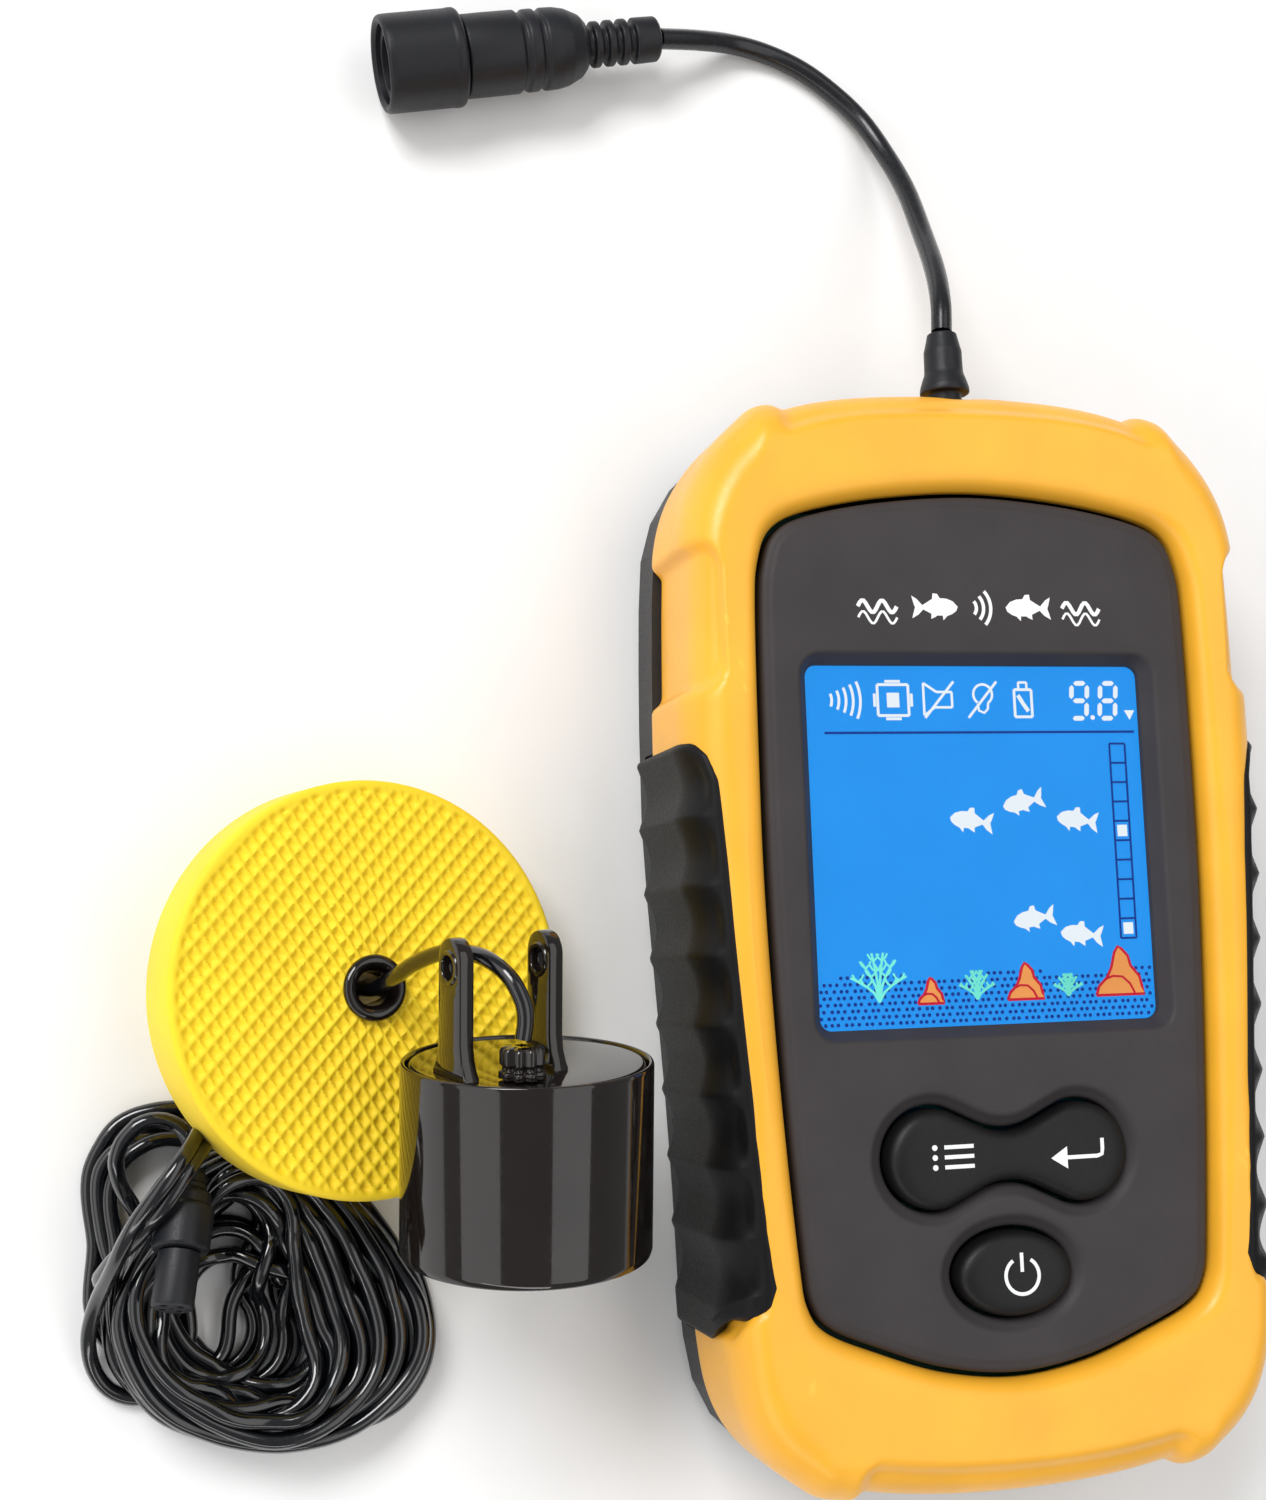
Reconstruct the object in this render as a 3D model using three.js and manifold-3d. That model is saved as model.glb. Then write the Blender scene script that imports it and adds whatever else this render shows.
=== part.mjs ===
// Handheld fish finder with its wired sonar set, laid out on a table.
// Units are millimetres. +X is to the right of the display, +Y runs to the cable end, +Z is up.
// The table is z = 0 and the handheld lies on its back, centred on the origin.

import * as THREE from 'three';
import Module from 'manifold-3d';

const wasm = await Module();
wasm.setup();

// ---------------------------------------------------------------- driving dimensions

const GAP = 0.3;                    // play between neighbouring pieces

const PARTING_Z = 10;               // the two case halves meet here
const TOP_Z = 29.6;                 // crown of the bumper
const CROWN_HEIGHT = 7;             // height of the bumper's rounded shoulder
const CROWN_INSET = 6;              // width of that shoulder
const WALL = 4.2;                   // case wall
const FLOOR = 3;                    // back shell floor

const PANEL_TOP_Z = 28;             // face panel's front surface
const PLATE_BOTTOM_Z = 22.8;        // plate behind the face panel
const PLATE_TOP_Z = 24.9;

const WINDOW = { x: 0, y: 9.5, width: 46, height: 45.8, corner: 2 };
const SIGHT = { width: 44, height: 43.8, corner: 1.5 };
const ROCKER = { y: -27.7, lobeX: 9.4, lobe: 5.8, waist: 2.8 };
const POWER = { y: -41.4, halfWidth: 7.2, halfHeight: 4.9 };
const KEY_TOP_Z = 29.4;
const KEY_STEM_Z = 19.2;

const BOARD = { width: 49, y0: -58, y1: 52, z0: 16, z1: 17.4 };
const CELL = { radius: 5.25, length: 44.5, pitch: 10.75, z: 8.7, y0: -52.3 };
const BAY = { halfWidth: 21.9, y0: -54.2, y1: -5.9, roofZ: 14.3 };
const DOOR = { halfWidth: 22.7, tongue: 24, y0: -61.5, y1: -6.6, top: 1.6 };
const SCREWS = [[-28, 50], [28, 50], [-27.6, -42], [27.6, -42]];
const BOSS_RADIUS = 2.8;

const GRIP = { y0: -48, y1: 22.3, depth: 1.4, proud: 0.6, scallops: 8, pitch: 8.1, firstY: 17.2 };

const BOOT = { z: 21.5, wallY: 67.3, tipY: 74.8, radius: 2.3, foot: 3.1 };
const PIGTAIL_RADIUS = 1.35;
const PIGTAIL_ROUTE = [
  [0, 75.1, 21.5], [0.5, 79.4, 20.6], [1.4, 85, 17.2], [2.1, 92.1, 12],
  [2.1, 99.9, 7.2], [0.8, 106.2, 3.8], [-1.9, 111.8, 2], [-5.9, 115.8, 1.5],
  [-10.2, 118.7, 1.4], [-15.2, 120.6, 1.5], [-20.4, 121.1, 2.4], [-25.9, 120.2, 4.5],
  [-31.6, 119.12, 6.2],
];
const SOCKET = {
  tail: [-31.9, 119.07, 6.2], heading: 190.15, length: 37.6, collarLength: 10.4,
  collar: 6.15, body: 5.25, neck: 4.7, bore: 3.55,
};

const FLOAT = { bottom: [-75.8, -5.4, 6.8], tilt: 16, radius: 24.5, thickness: 9.2, hole: 2.9 };
const GROMMET = { flange: 3.6, sleeve: 2.6, bore: 2.1, lip: 0.8 };

const SONAR = { cap: [-57.8, -13.9, 28.9], raise: 10.1, roll: 11.2, radius: 14.25, height: 22 };
const CUP_WALL = 1.4;
const EAR = { midX: -2.9, midY: -4.8, half: 5.6, turn: -31, width: 5, thick: 1.8, height: 15.2, foot: 0.6 };
const EAR_HOLE = { radius: 1.35, height: 12 };
const RELIEF = { x: -0.5, y: -9.4, radius: 2.35, height: 3.6 };

const LEAD_RADIUS = 0.95;
const LEAD_ROUTE = [
  [-60.1, -11.32, 38.8], [-59.9, -8.3, 39.3], [-61.3, -4.8, 38.6], [-63.5, -2.6, 36.2],
  [-65.6, -1.8, 33], [-67.5, -1.8, 29.5], [-69.7, -2.8, 25], [-71.4, -4.2, 20.8],
  [-73.2, -5.4, 15.6], [-74.5, -5.4, 11.2], [-75.8, -5.5, 6.9], [-76.9, -6.3, 3.6],
  [-79, -8.4, 1.6], [-82, -12, 1.1], [-85, -16, 1.1], [-86.9, -19.3, 1.1],
];
const HANK_HEIGHT = 10.6;
const HANK_OUTLINE = [
  [-103.8, -36.5], [-106.4, -43], [-105.6, -49.2], [-100.5, -52.8], [-93.5, -56.8],
  [-84.2, -59.8], [-74, -59], [-66.5, -53.5], [-63.8, -47], [-63.4, -41.5],
  [-61, -37], [-58.2, -32.5], [-60.5, -28], [-67, -25.5], [-76, -24], [-84, -21.5], [-90, -19],
  [-95.5, -17.4], [-101.4, -18], [-106.2, -23], [-106.9, -28.5], [-104.8, -33],
];
const PLUG = {
  tip: [-96.7, -40.7, 14.3], heading: 80.6, nose: 2.4, noseLength: 6.2,
  collar: 3.3, collarLength: 5.4, barrelLength: 4.4,
};
const TAIL_ROUTE = [
  [-94.04, -24.57, 14.3], [-93.8, -23.3, 14.3], [-94.6, -21.9, 14.1],
  [-96.6, -21.1, 13.5], [-98.8, -21.4, 12.7], [-100.6, -22.6, 12.1],
];

// Right half of the case outline, from the cable end round to the foot end.
const CASE_HALF = [
  [0, 67.2], [10, 66.9], [18, 66], [24, 64.4], [28.5, 61.9], [32, 58.4], [34.8, 53.8],
  [36.3, 48.6], [36.8, 42], [37.1, 34], [37.3, 26], [37.4, 14], [37, 4], [36.3, -8],
  [35.6, -20], [35.1, -32], [34.8, -44], [34.4, -50], [33.4, -55.5], [31.2, -60],
  [27.6, -63.6], [23, -65.9], [17, -67.3], [9, -68.2], [0, -68.5],
];
// Right half of the face panel's outline.
const PANEL_HALF = [
  [0, 52.2], [12, 51.3], [21.5, 49.4], [25.6, 47.2], [27.2, 43.5], [27.8, 38], [28, 20],
  [27.9, 3], [27.1, -18], [25.8, -38], [25, -43.4], [22.8, -46.3], [17, -48.9],
  [9, -51.7], [0, -52.9],
];

// ---------------------------------------------------------------- shapes and solids

const degrees = THREE.MathUtils.degToRad;
const pair = ([x, y]) => new THREE.Vector2(x, y);

// Mirrors a right half into a whole outline, anticlockwise from the foot end.
function mirrored(half) {
  const right = half.slice().reverse().map(pair);
  const left = half.slice(1, -1).map(([x, y]) => new THREE.Vector2(-x, y));
  return right.concat(left);
}

// Moves every point of a smooth anticlockwise outline outwards by a distance.
function offset(points, distance) {
  const count = points.length;
  return points.map((point, i) => {
    const before = points[(i + count - 1) % count];
    const after = points[(i + 1) % count];
    const along = after.clone().sub(before).normalize();
    return point.clone().add(new THREE.Vector2(along.y, -along.x).multiplyScalar(distance));
  });
}

function roundedRectangle(width, height, corner, x = 0, y = 0) {
  const shape = new THREE.Shape();
  const w = width / 2 - corner;
  const h = height / 2 - corner;
  shape.absarc(x + w, y + h, corner, 0, Math.PI / 2);
  shape.absarc(x - w, y + h, corner, Math.PI / 2, Math.PI);
  shape.absarc(x - w, y - h, corner, Math.PI, 1.5 * Math.PI);
  shape.absarc(x + w, y - h, corner, 1.5 * Math.PI, 2 * Math.PI);
  return shape;
}

function ellipse(halfWidth, halfHeight, x = 0, y = 0) {
  const shape = new THREE.Shape();
  shape.absellipse(x, y, halfWidth, halfHeight, 0, 2 * Math.PI);
  return shape;
}

// Two round lobes joined by a narrow waist.
function dumbbell(grow) {
  const lobe = ROCKER.lobe + grow;
  const waist = ROCKER.waist + grow;
  const points = [];
  const steps = 9;
  for (const side of [1, -1]) {
    for (let i = 0; i <= steps; i += 1) {
      const angle = degrees(-125 + (250 * i) / steps);
      points.push([side * (ROCKER.lobeX + lobe * Math.cos(angle)), side * lobe * Math.sin(angle)]);
    }
    points.push([0, side * waist]);
  }
  return new THREE.Shape(points.map(([x, y]) => new THREE.Vector2(x, y + ROCKER.y)));
}

// Upright extrusion from z0 to z1; a bevel rounds both ends inwards.
function extrude(shape, z0, z1, { bevel = 0, bevelInset = bevel, segments = 3, curve = 5 } = {}) {
  const geometry = new THREE.ExtrudeGeometry(shape, {
    depth: z1 - z0 - 2 * bevel,
    bevelEnabled: bevel > 0,
    bevelThickness: bevel,
    bevelSize: bevelInset,
    bevelOffset: -bevelInset,
    bevelSegments: segments,
    curveSegments: curve,
  });
  return geometry.translate(0, 0, z0 + bevel);
}

function box(x0, x1, y0, y1, z0, z1) {
  const geometry = new THREE.BoxGeometry(x1 - x0, y1 - y0, z1 - z0);
  return geometry.translate((x0 + x1) / 2, (y0 + y1) / 2, (z0 + z1) / 2);
}

function cylinder(radius, z0, z1, x = 0, y = 0, sides = 20) {
  const geometry = new THREE.CylinderGeometry(radius, radius, z1 - z0, sides);
  return geometry.rotateX(Math.PI / 2).translate(x, y, (z0 + z1) / 2);
}

// Turned solid about Z from [radius, z] points that start and end on the axis or close a ring.
function turned(profile, sides = 24) {
  const geometry = new THREE.LatheGeometry(profile.map(pair), sides);
  return geometry.rotateX(Math.PI / 2);
}

function ring(outer, inner, z0, z1, sides = 24) {
  return turned([[inner, z0], [outer, z0], [outer, z1], [inner, z1], [inner, z0]], sides);
}

// Round tube along a smooth route.
function tube(route, radius, steps) {
  const curve = new THREE.CatmullRomCurve3(route.map((p) => new THREE.Vector3(...p)));
  const section = new THREE.Shape();
  section.absarc(0, 0, radius, 0, 2 * Math.PI);
  return new THREE.ExtrudeGeometry(section, { steps, extrudePath: curve, curveSegments: 8 });
}

// A three.js geometry as a Manifold solid.
function solid(geometry) {
  const plain = geometry.index ? geometry.toNonIndexed() : geometry;
  const source = plain.getAttribute('position').array;
  const found = new Map();
  const vertices = [];
  const triangles = [];
  for (let i = 0; i < source.length; i += 3) {
    const point = [source[i], source[i + 1], source[i + 2]];
    const key = point.map((value) => Math.round(value * 1e4)).join(',');
    if (!found.has(key)) {
      found.set(key, vertices.length / 3);
      vertices.push(...point);
    }
    triangles.push(found.get(key));
  }
  const faces = [];
  for (let i = 0; i < triangles.length; i += 3) {
    const [a, b, c] = triangles.slice(i, i + 3);
    if (a !== b && b !== c && a !== c) faces.push(a, b, c);
  }
  const mesh = new wasm.Mesh({
    numProp: 3,
    vertProperties: new Float32Array(vertices),
    triVerts: new Uint32Array(faces),
  });
  let result = new wasm.Manifold(mesh);
  if (result.volume() < 0) {
    mesh.triVerts = mesh.triVerts.slice().reverse();
    result = new wasm.Manifold(mesh);
  }
  return result;
}

function union(...geometries) {
  return wasm.Manifold.union(geometries.map(asSolid));
}

function asSolid(item) {
  return item.isBufferGeometry ? solid(item) : item;
}

function cut(base, ...tools) {
  return tools.reduce((left, tool) => left.subtract(asSolid(tool)), asSolid(base));
}

function common(a, b) {
  return asSolid(a).intersect(asSolid(b));
}

function geometryOf(item) {
  if (item.isBufferGeometry) return item;
  const mesh = item.getMesh();
  const geometry = new THREE.BufferGeometry();
  const positions = new THREE.BufferAttribute(mesh.vertProperties, mesh.numProp);
  geometry.setAttribute('position', positions);
  geometry.setIndex(new THREE.BufferAttribute(mesh.triVerts, 1));
  geometry.computeVertexNormals();
  return geometry;
}

const group = new THREE.Group();

const FINISH = {
  yellow: { color: 0xf8b822, roughness: 0.42, metalness: 0 },
  charcoal: { color: 0x4a4749, roughness: 0.6, metalness: 0 },
  black: { color: 0x1a1a1c, roughness: 0.5, metalness: 0 },
  rubber: { color: 0x17181b, roughness: 0.85, metalness: 0 },
  gloss: { color: 0x1c1917, roughness: 0.12, metalness: 0 },
  screen: { color: 0x2196f3, roughness: 0.3, metalness: 0 },
  lens: { color: 0xdfeaf2, roughness: 0.05, metalness: 0 },
  board: { color: 0x1d6b3c, roughness: 0.5, metalness: 0 },
  steel: { color: 0xb9bcc0, roughness: 0.3, metalness: 1 },
  brass: { color: 0xc9a24a, roughness: 0.3, metalness: 1 },
  ceramic: { color: 0xe9e4d8, roughness: 0.5, metalness: 0 },
  resin: { color: 0x2b2622, roughness: 0.35, metalness: 0 },
  cork: { color: 0xa97c4f, roughness: 0.9, metalness: 0 },
  foam: { color: 0xffd21c, roughness: 0.9, metalness: 0 },
};

function add(name, item, finish, matrix = null) {
  const geometry = geometryOf(item);
  if (matrix) geometry.applyMatrix4(matrix);
  const mesh = new THREE.Mesh(geometry, new THREE.MeshStandardMaterial(FINISH[finish]));
  mesh.name = name;
  group.add(mesh);
}

// ---------------------------------------------------------------- case halves and grips

const caseOutline = mirrored(CASE_HALF);
const panelOutline = mirrored(PANEL_HALF);
const grown = (points, distance) => new THREE.Shape(offset(points, distance));

// Full upper half blank with a rounded shoulder, grown outwards by a distance.
function upperBlank(distance) {
  const whole = extrude(grown(caseOutline, distance), -10, TOP_Z + distance, {
    bevel: CROWN_HEIGHT, bevelInset: CROWN_INSET, segments: 3,
  });
  return common(whole, box(-60, 60, -90, 90, PARTING_Z + GAP / 2, 60));
}

function lowerBlank(distance) {
  const whole = extrude(grown(caseOutline, distance - 0.4), 0, 20, { bevel: 3 });
  return common(whole, box(-60, 60, -90, 90, -5, PARTING_Z - GAP / 2));
}

// Upright wall that follows the case outline, for pockets and rings.
const cavity = (distance, z0, z1) => extrude(grown(caseOutline, distance), z0, z1);

// Outline of one grip pad; side is 1 for the right-hand grip.
function gripOutline(side, grow) {
  const { y0, y1 } = GRIP;
  const points = [
    [45, y0 - grow], [33 - grow, y0 - grow], [30 - grow, y0 + 2.5], [29.5 - grow, y0 + 6],
    [31.5 - grow, -17], [33.5 - grow, 12], [33.8 - grow, y1 - 5], [35 - grow, y1 - 1.5],
    [36.8 - grow, y1 + grow], [45, y1 + grow],
  ];
  return new THREE.Shape(points.map(([x, y]) => new THREE.Vector2(side * x, y)));
}

const gripZone = (side, grow) => extrude(gripOutline(side, grow), 6 - grow, 40);

// Full-height blank for the grips, which run across the parting line.
function gripBlank(distance) {
  const whole = extrude(grown(caseOutline, distance), -10, TOP_Z + distance, {
    bevel: CROWN_HEIGHT, bevelInset: CROWN_INSET, segments: 3,
  });
  return asSolid(whole);
}

function gripPocket(side) {
  return cut(gripZone(side, GAP), gripBlank(-GRIP.depth - GAP));
}

function grip(side) {
  let pad = common(gripBlank(GRIP.proud), gripZone(side, 0));
  pad = cut(pad, gripBlank(-GRIP.depth));
  for (let i = 0; i < GRIP.scallops; i += 1) {
    const y = GRIP.firstY - GRIP.pitch * i;
    const width = 37.3 - 0.045 * (GRIP.firstY - y);
    pad = cut(pad, cylinder(7, 0, 40, side * (width + 6.6), y, 16));
  }
  return pad;
}

// Slanted flats cut into the bumper's shoulder: a dish on each side and one at each end.
function shoulderFlats() {
  const dishes = [1, -1].map((side) => {
    const dish = side > 0 ? box(0, 14, -7, 7, -9, 9) : box(-14, 0, -7, 7, -9, 9);
    return dish.rotateY(side * degrees(24)).translate(side * 42.6, 37.5, 22);
  });
  const cableEnd = box(-20, 20, 0, 12, -7, 7).rotateX(degrees(-24)).translate(0, 68.6, 24);
  const footEnd = box(-19, 19, -12, 0, -7, 7).rotateX(degrees(24)).translate(2, -69.6, 22);
  return [...dishes, cableEnd, footEnd];
}

const sealGroove = cut(
  cavity(-2.5, PARTING_Z - 1, PARTING_Z + 1),
  cavity(-3.6, PARTING_Z - 2, PARTING_Z + 2),
);
const bootHole = new THREE.CylinderGeometry(2.4, 2.4, 20, 20).translate(0, 62, BOOT.z);

add('yellow_bumper', cut(
  upperBlank(0),
  cavity(-WALL, PARTING_Z - 1, PLATE_TOP_Z + GAP),
  extrude(grown(panelOutline, GAP), 20, 40),
  sealGroove,
  gripPocket(1),
  gripPocket(-1),
  bootHole,
  ...shoulderFlats(),
), 'yellow');

add('grip_right', grip(1), 'rubber');
add('grip_left', grip(-1), 'rubber');

const bayTub = cut(
  box(-BAY.halfWidth - 1.3, BAY.halfWidth + 1.3, BAY.y0 - 1.2, BAY.y1 + 1.2, 1, BAY.roofZ + 1.1),
  box(-BAY.halfWidth, BAY.halfWidth, BAY.y0, BAY.y1, 0, BAY.roofZ),
);
const bosses = SCREWS.map(([x, y]) => cylinder(BOSS_RADIUS, 1, PARTING_Z - GAP / 2, x, y));
const screwHoles = SCREWS.flatMap(([x, y]) => [
  cylinder(1.4, -1, 30, x, y),
  cylinder(2.3, -1, 3.4, x, y),
]);
add('back_shell', cut(
  union(cut(lowerBlank(0), cavity(-WALL, FLOOR, 30)), bayTub, ...bosses),
  box(-BAY.halfWidth, BAY.halfWidth, BAY.y0, BAY.y1, -1, BAY.roofZ),
  box(-DOOR.halfWidth - GAP, DOOR.halfWidth + GAP, -80, DOOR.y1 + GAP, -1, DOOR.top + GAP),
  box(-DOOR.tongue - GAP, DOOR.tongue + GAP, -80, DOOR.y1 + GAP, 0.6, DOOR.top + GAP),
  sealGroove,
  gripPocket(1),
  gripPocket(-1),
  ...screwHoles,
), 'black');

add('case_seal', cut(
  cavity(-2.7, PARTING_Z - 0.7, PARTING_Z + 0.7),
  cavity(-3.4, PARTING_Z - 2, PARTING_Z + 2),
), 'rubber');

SCREWS.forEach(([x, y], i) => {
  const screw = turned([[0, 0.9], [2, 0.9], [2, 2.8], [1.05, 3], [1.05, 14.5], [0, 15]], 14);
  add(`case_screw_${i + 1}`, screw.translate(x, y, 0), 'steel');
});

// ---------------------------------------------------------------- face panel, window, display

const frontBosses = SCREWS.map(([x, y]) => {
  return cylinder(BOSS_RADIUS - 0.1, PARTING_Z + GAP / 2, PLATE_TOP_Z - 0.5, x, y);
});
add('front_panel', cut(
  union(
    extrude(grown(caseOutline, -WALL - GAP), PLATE_BOTTOM_Z, PLATE_TOP_Z),
    extrude(grown(panelOutline, 0), PLATE_BOTTOM_Z, PANEL_TOP_Z, { bevel: 0.4, segments: 1 }),
    ...frontBosses,
  ),
  extrude(roundedRectangle(WINDOW.width, WINDOW.height, WINDOW.corner, 0, WINDOW.y), 25.1, 40),
  extrude(roundedRectangle(SIGHT.width, SIGHT.height, SIGHT.corner, 0, WINDOW.y), 20, 40),
  extrude(dumbbell(0.5), 20, 40),
  extrude(ellipse(POWER.halfWidth + 0.4, POWER.halfHeight + 0.4, 0, POWER.y), 20, 40),
  box(-4, 4, 59.5, 70, 20, 30),
  ...SCREWS.map(([x, y]) => cylinder(1.4, 5, 20, x, y)),
), 'charcoal');

add('window_lens', extrude(
  roundedRectangle(WINDOW.width - 0.6, WINDOW.height - 0.6, WINDOW.corner - 0.3, 0, WINDOW.y),
  25.4, 26.6,
), 'lens');
add('lcd_panel', box(-24, 24, WINDOW.y - 24, WINDOW.y + 24, 20.3, 22.5), 'screen');
add('backlight', box(-24, 24, WINDOW.y - 24, WINDOW.y + 24, 18, 20), 'ceramic');

// ---------------------------------------------------------------- keys, board and buzzer

const rockerStems = [-1, 1].map((side) => {
  return cylinder(2, KEY_STEM_Z, 23, side * ROCKER.lobeX, ROCKER.y, 14);
});
add('rocker_key', union(
  extrude(dumbbell(0), 20.6, KEY_TOP_Z, { bevel: 0.9, segments: 2 }),
  extrude(dumbbell(1.1), 20.6, 21.4),
  ...rockerStems,
), 'rubber');
add('power_key', union(
  extrude(ellipse(POWER.halfWidth, POWER.halfHeight, 0, POWER.y), 20.9, KEY_TOP_Z, {
    bevel: 0.9, segments: 2,
  }),
  extrude(ellipse(POWER.halfWidth + 1.1, POWER.halfHeight + 1.1, 0, POWER.y), 21.4, 22.4),
  cylinder(2, KEY_STEM_Z, 23, 0, POWER.y, 14),
), 'rubber');

add('main_board', box(
  -BOARD.width / 2, BOARD.width / 2, BOARD.y0, BOARD.y1, BOARD.z0, BOARD.z1,
), 'board');
const DOMES = [
  ['dome_left', -ROCKER.lobeX, ROCKER.y],
  ['dome_right', ROCKER.lobeX, ROCKER.y],
  ['dome_power', 0, POWER.y],
];
for (const [name, x, y] of DOMES) {
  const dome = turned([[0, 17.7], [2.4, 17.7], [1.6, 18.05], [0, 18.2]], 16);
  add(name, dome.translate(x, y, 0), 'steel');
}
add('sonar_chip', box(-19, -7, 4, 16, 14.1, 15.7), 'black');
add('pulse_coil', ring(4.2, 1.4, 8.6, 15.7, 20).translate(12, 10, 0), 'resin');
add('buzzer', cylinder(6.5, 12.9, 15.7, 0, 33, 22), 'black');

// ---------------------------------------------------------------- battery bay

for (let i = 0; i < 4; i += 1) {
  const cell = turned([
    [0, 0], [CELL.radius, 0], [CELL.radius, CELL.length - 1], [1.9, CELL.length - 1],
    [1.9, CELL.length], [0, CELL.length],
  ], 20);
  cell.translate(0, 0, -CELL.length / 2).rotateX(i % 2 ? Math.PI / 2 : -Math.PI / 2);
  cell.translate((i - 1.5) * CELL.pitch, CELL.y0 + CELL.length / 2, CELL.z);
  add(`battery_cell_${i + 1}`, cell, 'steel');
}
for (const [name, y, side] of [['contacts_foot', BAY.y0 + 0.5, 1], ['contacts_head', BAY.y1 - 0.5, -1]]) {
  const nubs = [0, 1, 2, 3].map((i) => {
    const nub = turned([[0, -0.1], [1.8, -0.1], [1, 0.55], [0, 0.55]], 12);
    return nub.rotateX(-side * Math.PI / 2).translate((i - 1.5) * CELL.pitch, y + side * 0.2, CELL.z);
  });
  add(name, union(box(-21, 21, y - 0.2, y + 0.2, 4.2, 13.2), ...nubs), 'brass');
}

add('battery_door', cut(
  union(
    box(-DOOR.halfWidth, DOOR.halfWidth, DOOR.y0, DOOR.y1, 0, DOOR.top),
    box(-DOOR.tongue, DOOR.tongue, DOOR.y0 + 2, DOOR.y1, 0.9, DOOR.top),
  ),
  ...[-52, -54.5, -57].map((y) => box(-8, 8, y - 0.5, y + 0.5, -1, 0.5)),
), 'black');

// ---------------------------------------------------------------- pigtail and its socket

// Turns a solid about +Z to lie along +Y, away from the cable end.
const alongY = (geometry) => geometry.rotateX(-Math.PI / 2);

add('cable_boot', alongY(turned([
  [0, -3], [2.1, -3], [2.1, 0.3], [BOOT.foot, 0.4], [BOOT.foot - 0.2, 1.4], [BOOT.radius, 2.4],
  [BOOT.radius, 5.4], [1.9, 7.1], [1.55, BOOT.tipY - BOOT.wallY], [0, BOOT.tipY - BOOT.wallY],
], 18)).translate(0, BOOT.wallY, BOOT.z), 'rubber');

add('pigtail_cable', tube(PIGTAIL_ROUTE, PIGTAIL_RADIUS, 26), 'rubber');

// Socket pieces are drawn from the open front (0) back to the tail and then laid in place.
const socketPlace = new THREE.Matrix4()
  .makeTranslation(...SOCKET.tail)
  .multiply(new THREE.Matrix4().makeRotationZ(degrees(SOCKET.heading)))
  .multiply(new THREE.Matrix4().makeRotationY(-Math.PI / 2))
  .multiply(new THREE.Matrix4().makeTranslation(0, 0, -SOCKET.length));

const socketProfile = [
  [SOCKET.bore, 1], [SOCKET.neck, 1], [SOCKET.neck, SOCKET.collarLength + GAP],
  [SOCKET.body, SOCKET.collarLength + GAP], [SOCKET.body, 18.2], [4.8, 18.4], [4.8, 19],
  [SOCKET.body, 19.2], [SOCKET.body, 20.6], [4.8, 20.8], [4.8, 21.4], [SOCKET.body, 21.6],
  [SOCKET.body, 23.4], [4.6, 25.2], [3, 27.2],
];
const RIBS = 4;
for (let i = 0; i < RIBS; i += 1) {
  const start = 27.6 + 1.9 * i;
  socketProfile.push([2.2, start], [2.2, start + 0.7], [3, start + 0.8], [3, start + 1.8]);
}
socketProfile.push([2.9, SOCKET.length - 0.4], [2.5, SOCKET.length], [0, SOCKET.length]);
socketProfile.push([0, 15.4], [SOCKET.bore, 15.4], [SOCKET.bore, 1]);
add('socket_body', turned(socketProfile, 22), 'rubber', socketPlace);
add('socket_collar', turned([
  [SOCKET.neck + GAP, 0.3], [5.6, 0], [SOCKET.collar, 0.6], [SOCKET.collar, 9.4],
  [SOCKET.collar - 0.25, SOCKET.collarLength], [SOCKET.neck + GAP, SOCKET.collarLength],
  [SOCKET.neck + GAP, 0.3],
], 26), 'rubber', socketPlace);
const pins = [45, 135, 225, 315].map((angle) => {
  const x = 1.5 * Math.cos(degrees(angle));
  const y = 1.5 * Math.sin(degrees(angle));
  return cylinder(0.45, 6.6, 11, x, y, 8);
});
add('socket_insert', union(cylinder(3.2, 10.4, 15.1, 0, 0, 20), ...pins), 'brass', socketPlace);

// ---------------------------------------------------------------- float

const floatPlace = new THREE.Matrix4()
  .makeTranslation(...FLOAT.bottom)
  .multiply(new THREE.Matrix4().makeRotationY(degrees(FLOAT.tilt)));

const rim = FLOAT.radius;
add('float_disc', turned([
  [FLOAT.hole, 0], [rim - 0.5, 0], [rim, 0.5], [rim, FLOAT.thickness - 0.5],
  [rim - 0.5, FLOAT.thickness], [FLOAT.hole, FLOAT.thickness], [FLOAT.hole, 0],
], 48), 'foam', floatPlace);
const flangeFoot = FLOAT.thickness + GAP;
add('grommet_front', turned([
  [GROMMET.bore, 0.3], [GROMMET.sleeve, 0.3], [GROMMET.sleeve, flangeFoot],
  [GROMMET.flange, flangeFoot], [GROMMET.flange - 0.3, flangeFoot + GROMMET.lip],
  [GROMMET.bore, flangeFoot + GROMMET.lip], [GROMMET.bore, 0.3],
], 22), 'rubber', floatPlace);
add('grommet_back', ring(GROMMET.flange, GROMMET.bore, -GAP - GROMMET.lip, -GAP, 22), 'rubber',
  floatPlace);

// ---------------------------------------------------------------- sonar transducer

// Local +Z runs from the sensing face to the cap; local -Y is uppermost as it lies.
const sonarPlace = new THREE.Matrix4()
  .makeTranslation(...SONAR.cap)
  .multiply(new THREE.Matrix4().makeRotationX(degrees(SONAR.raise)))
  .multiply(new THREE.Matrix4().makeRotationY(degrees(-SONAR.roll)))
  .multiply(new THREE.Matrix4().makeRotationX(-Math.PI / 2))
  .multiply(new THREE.Matrix4().makeTranslation(0, 0, -SONAR.height));

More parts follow.
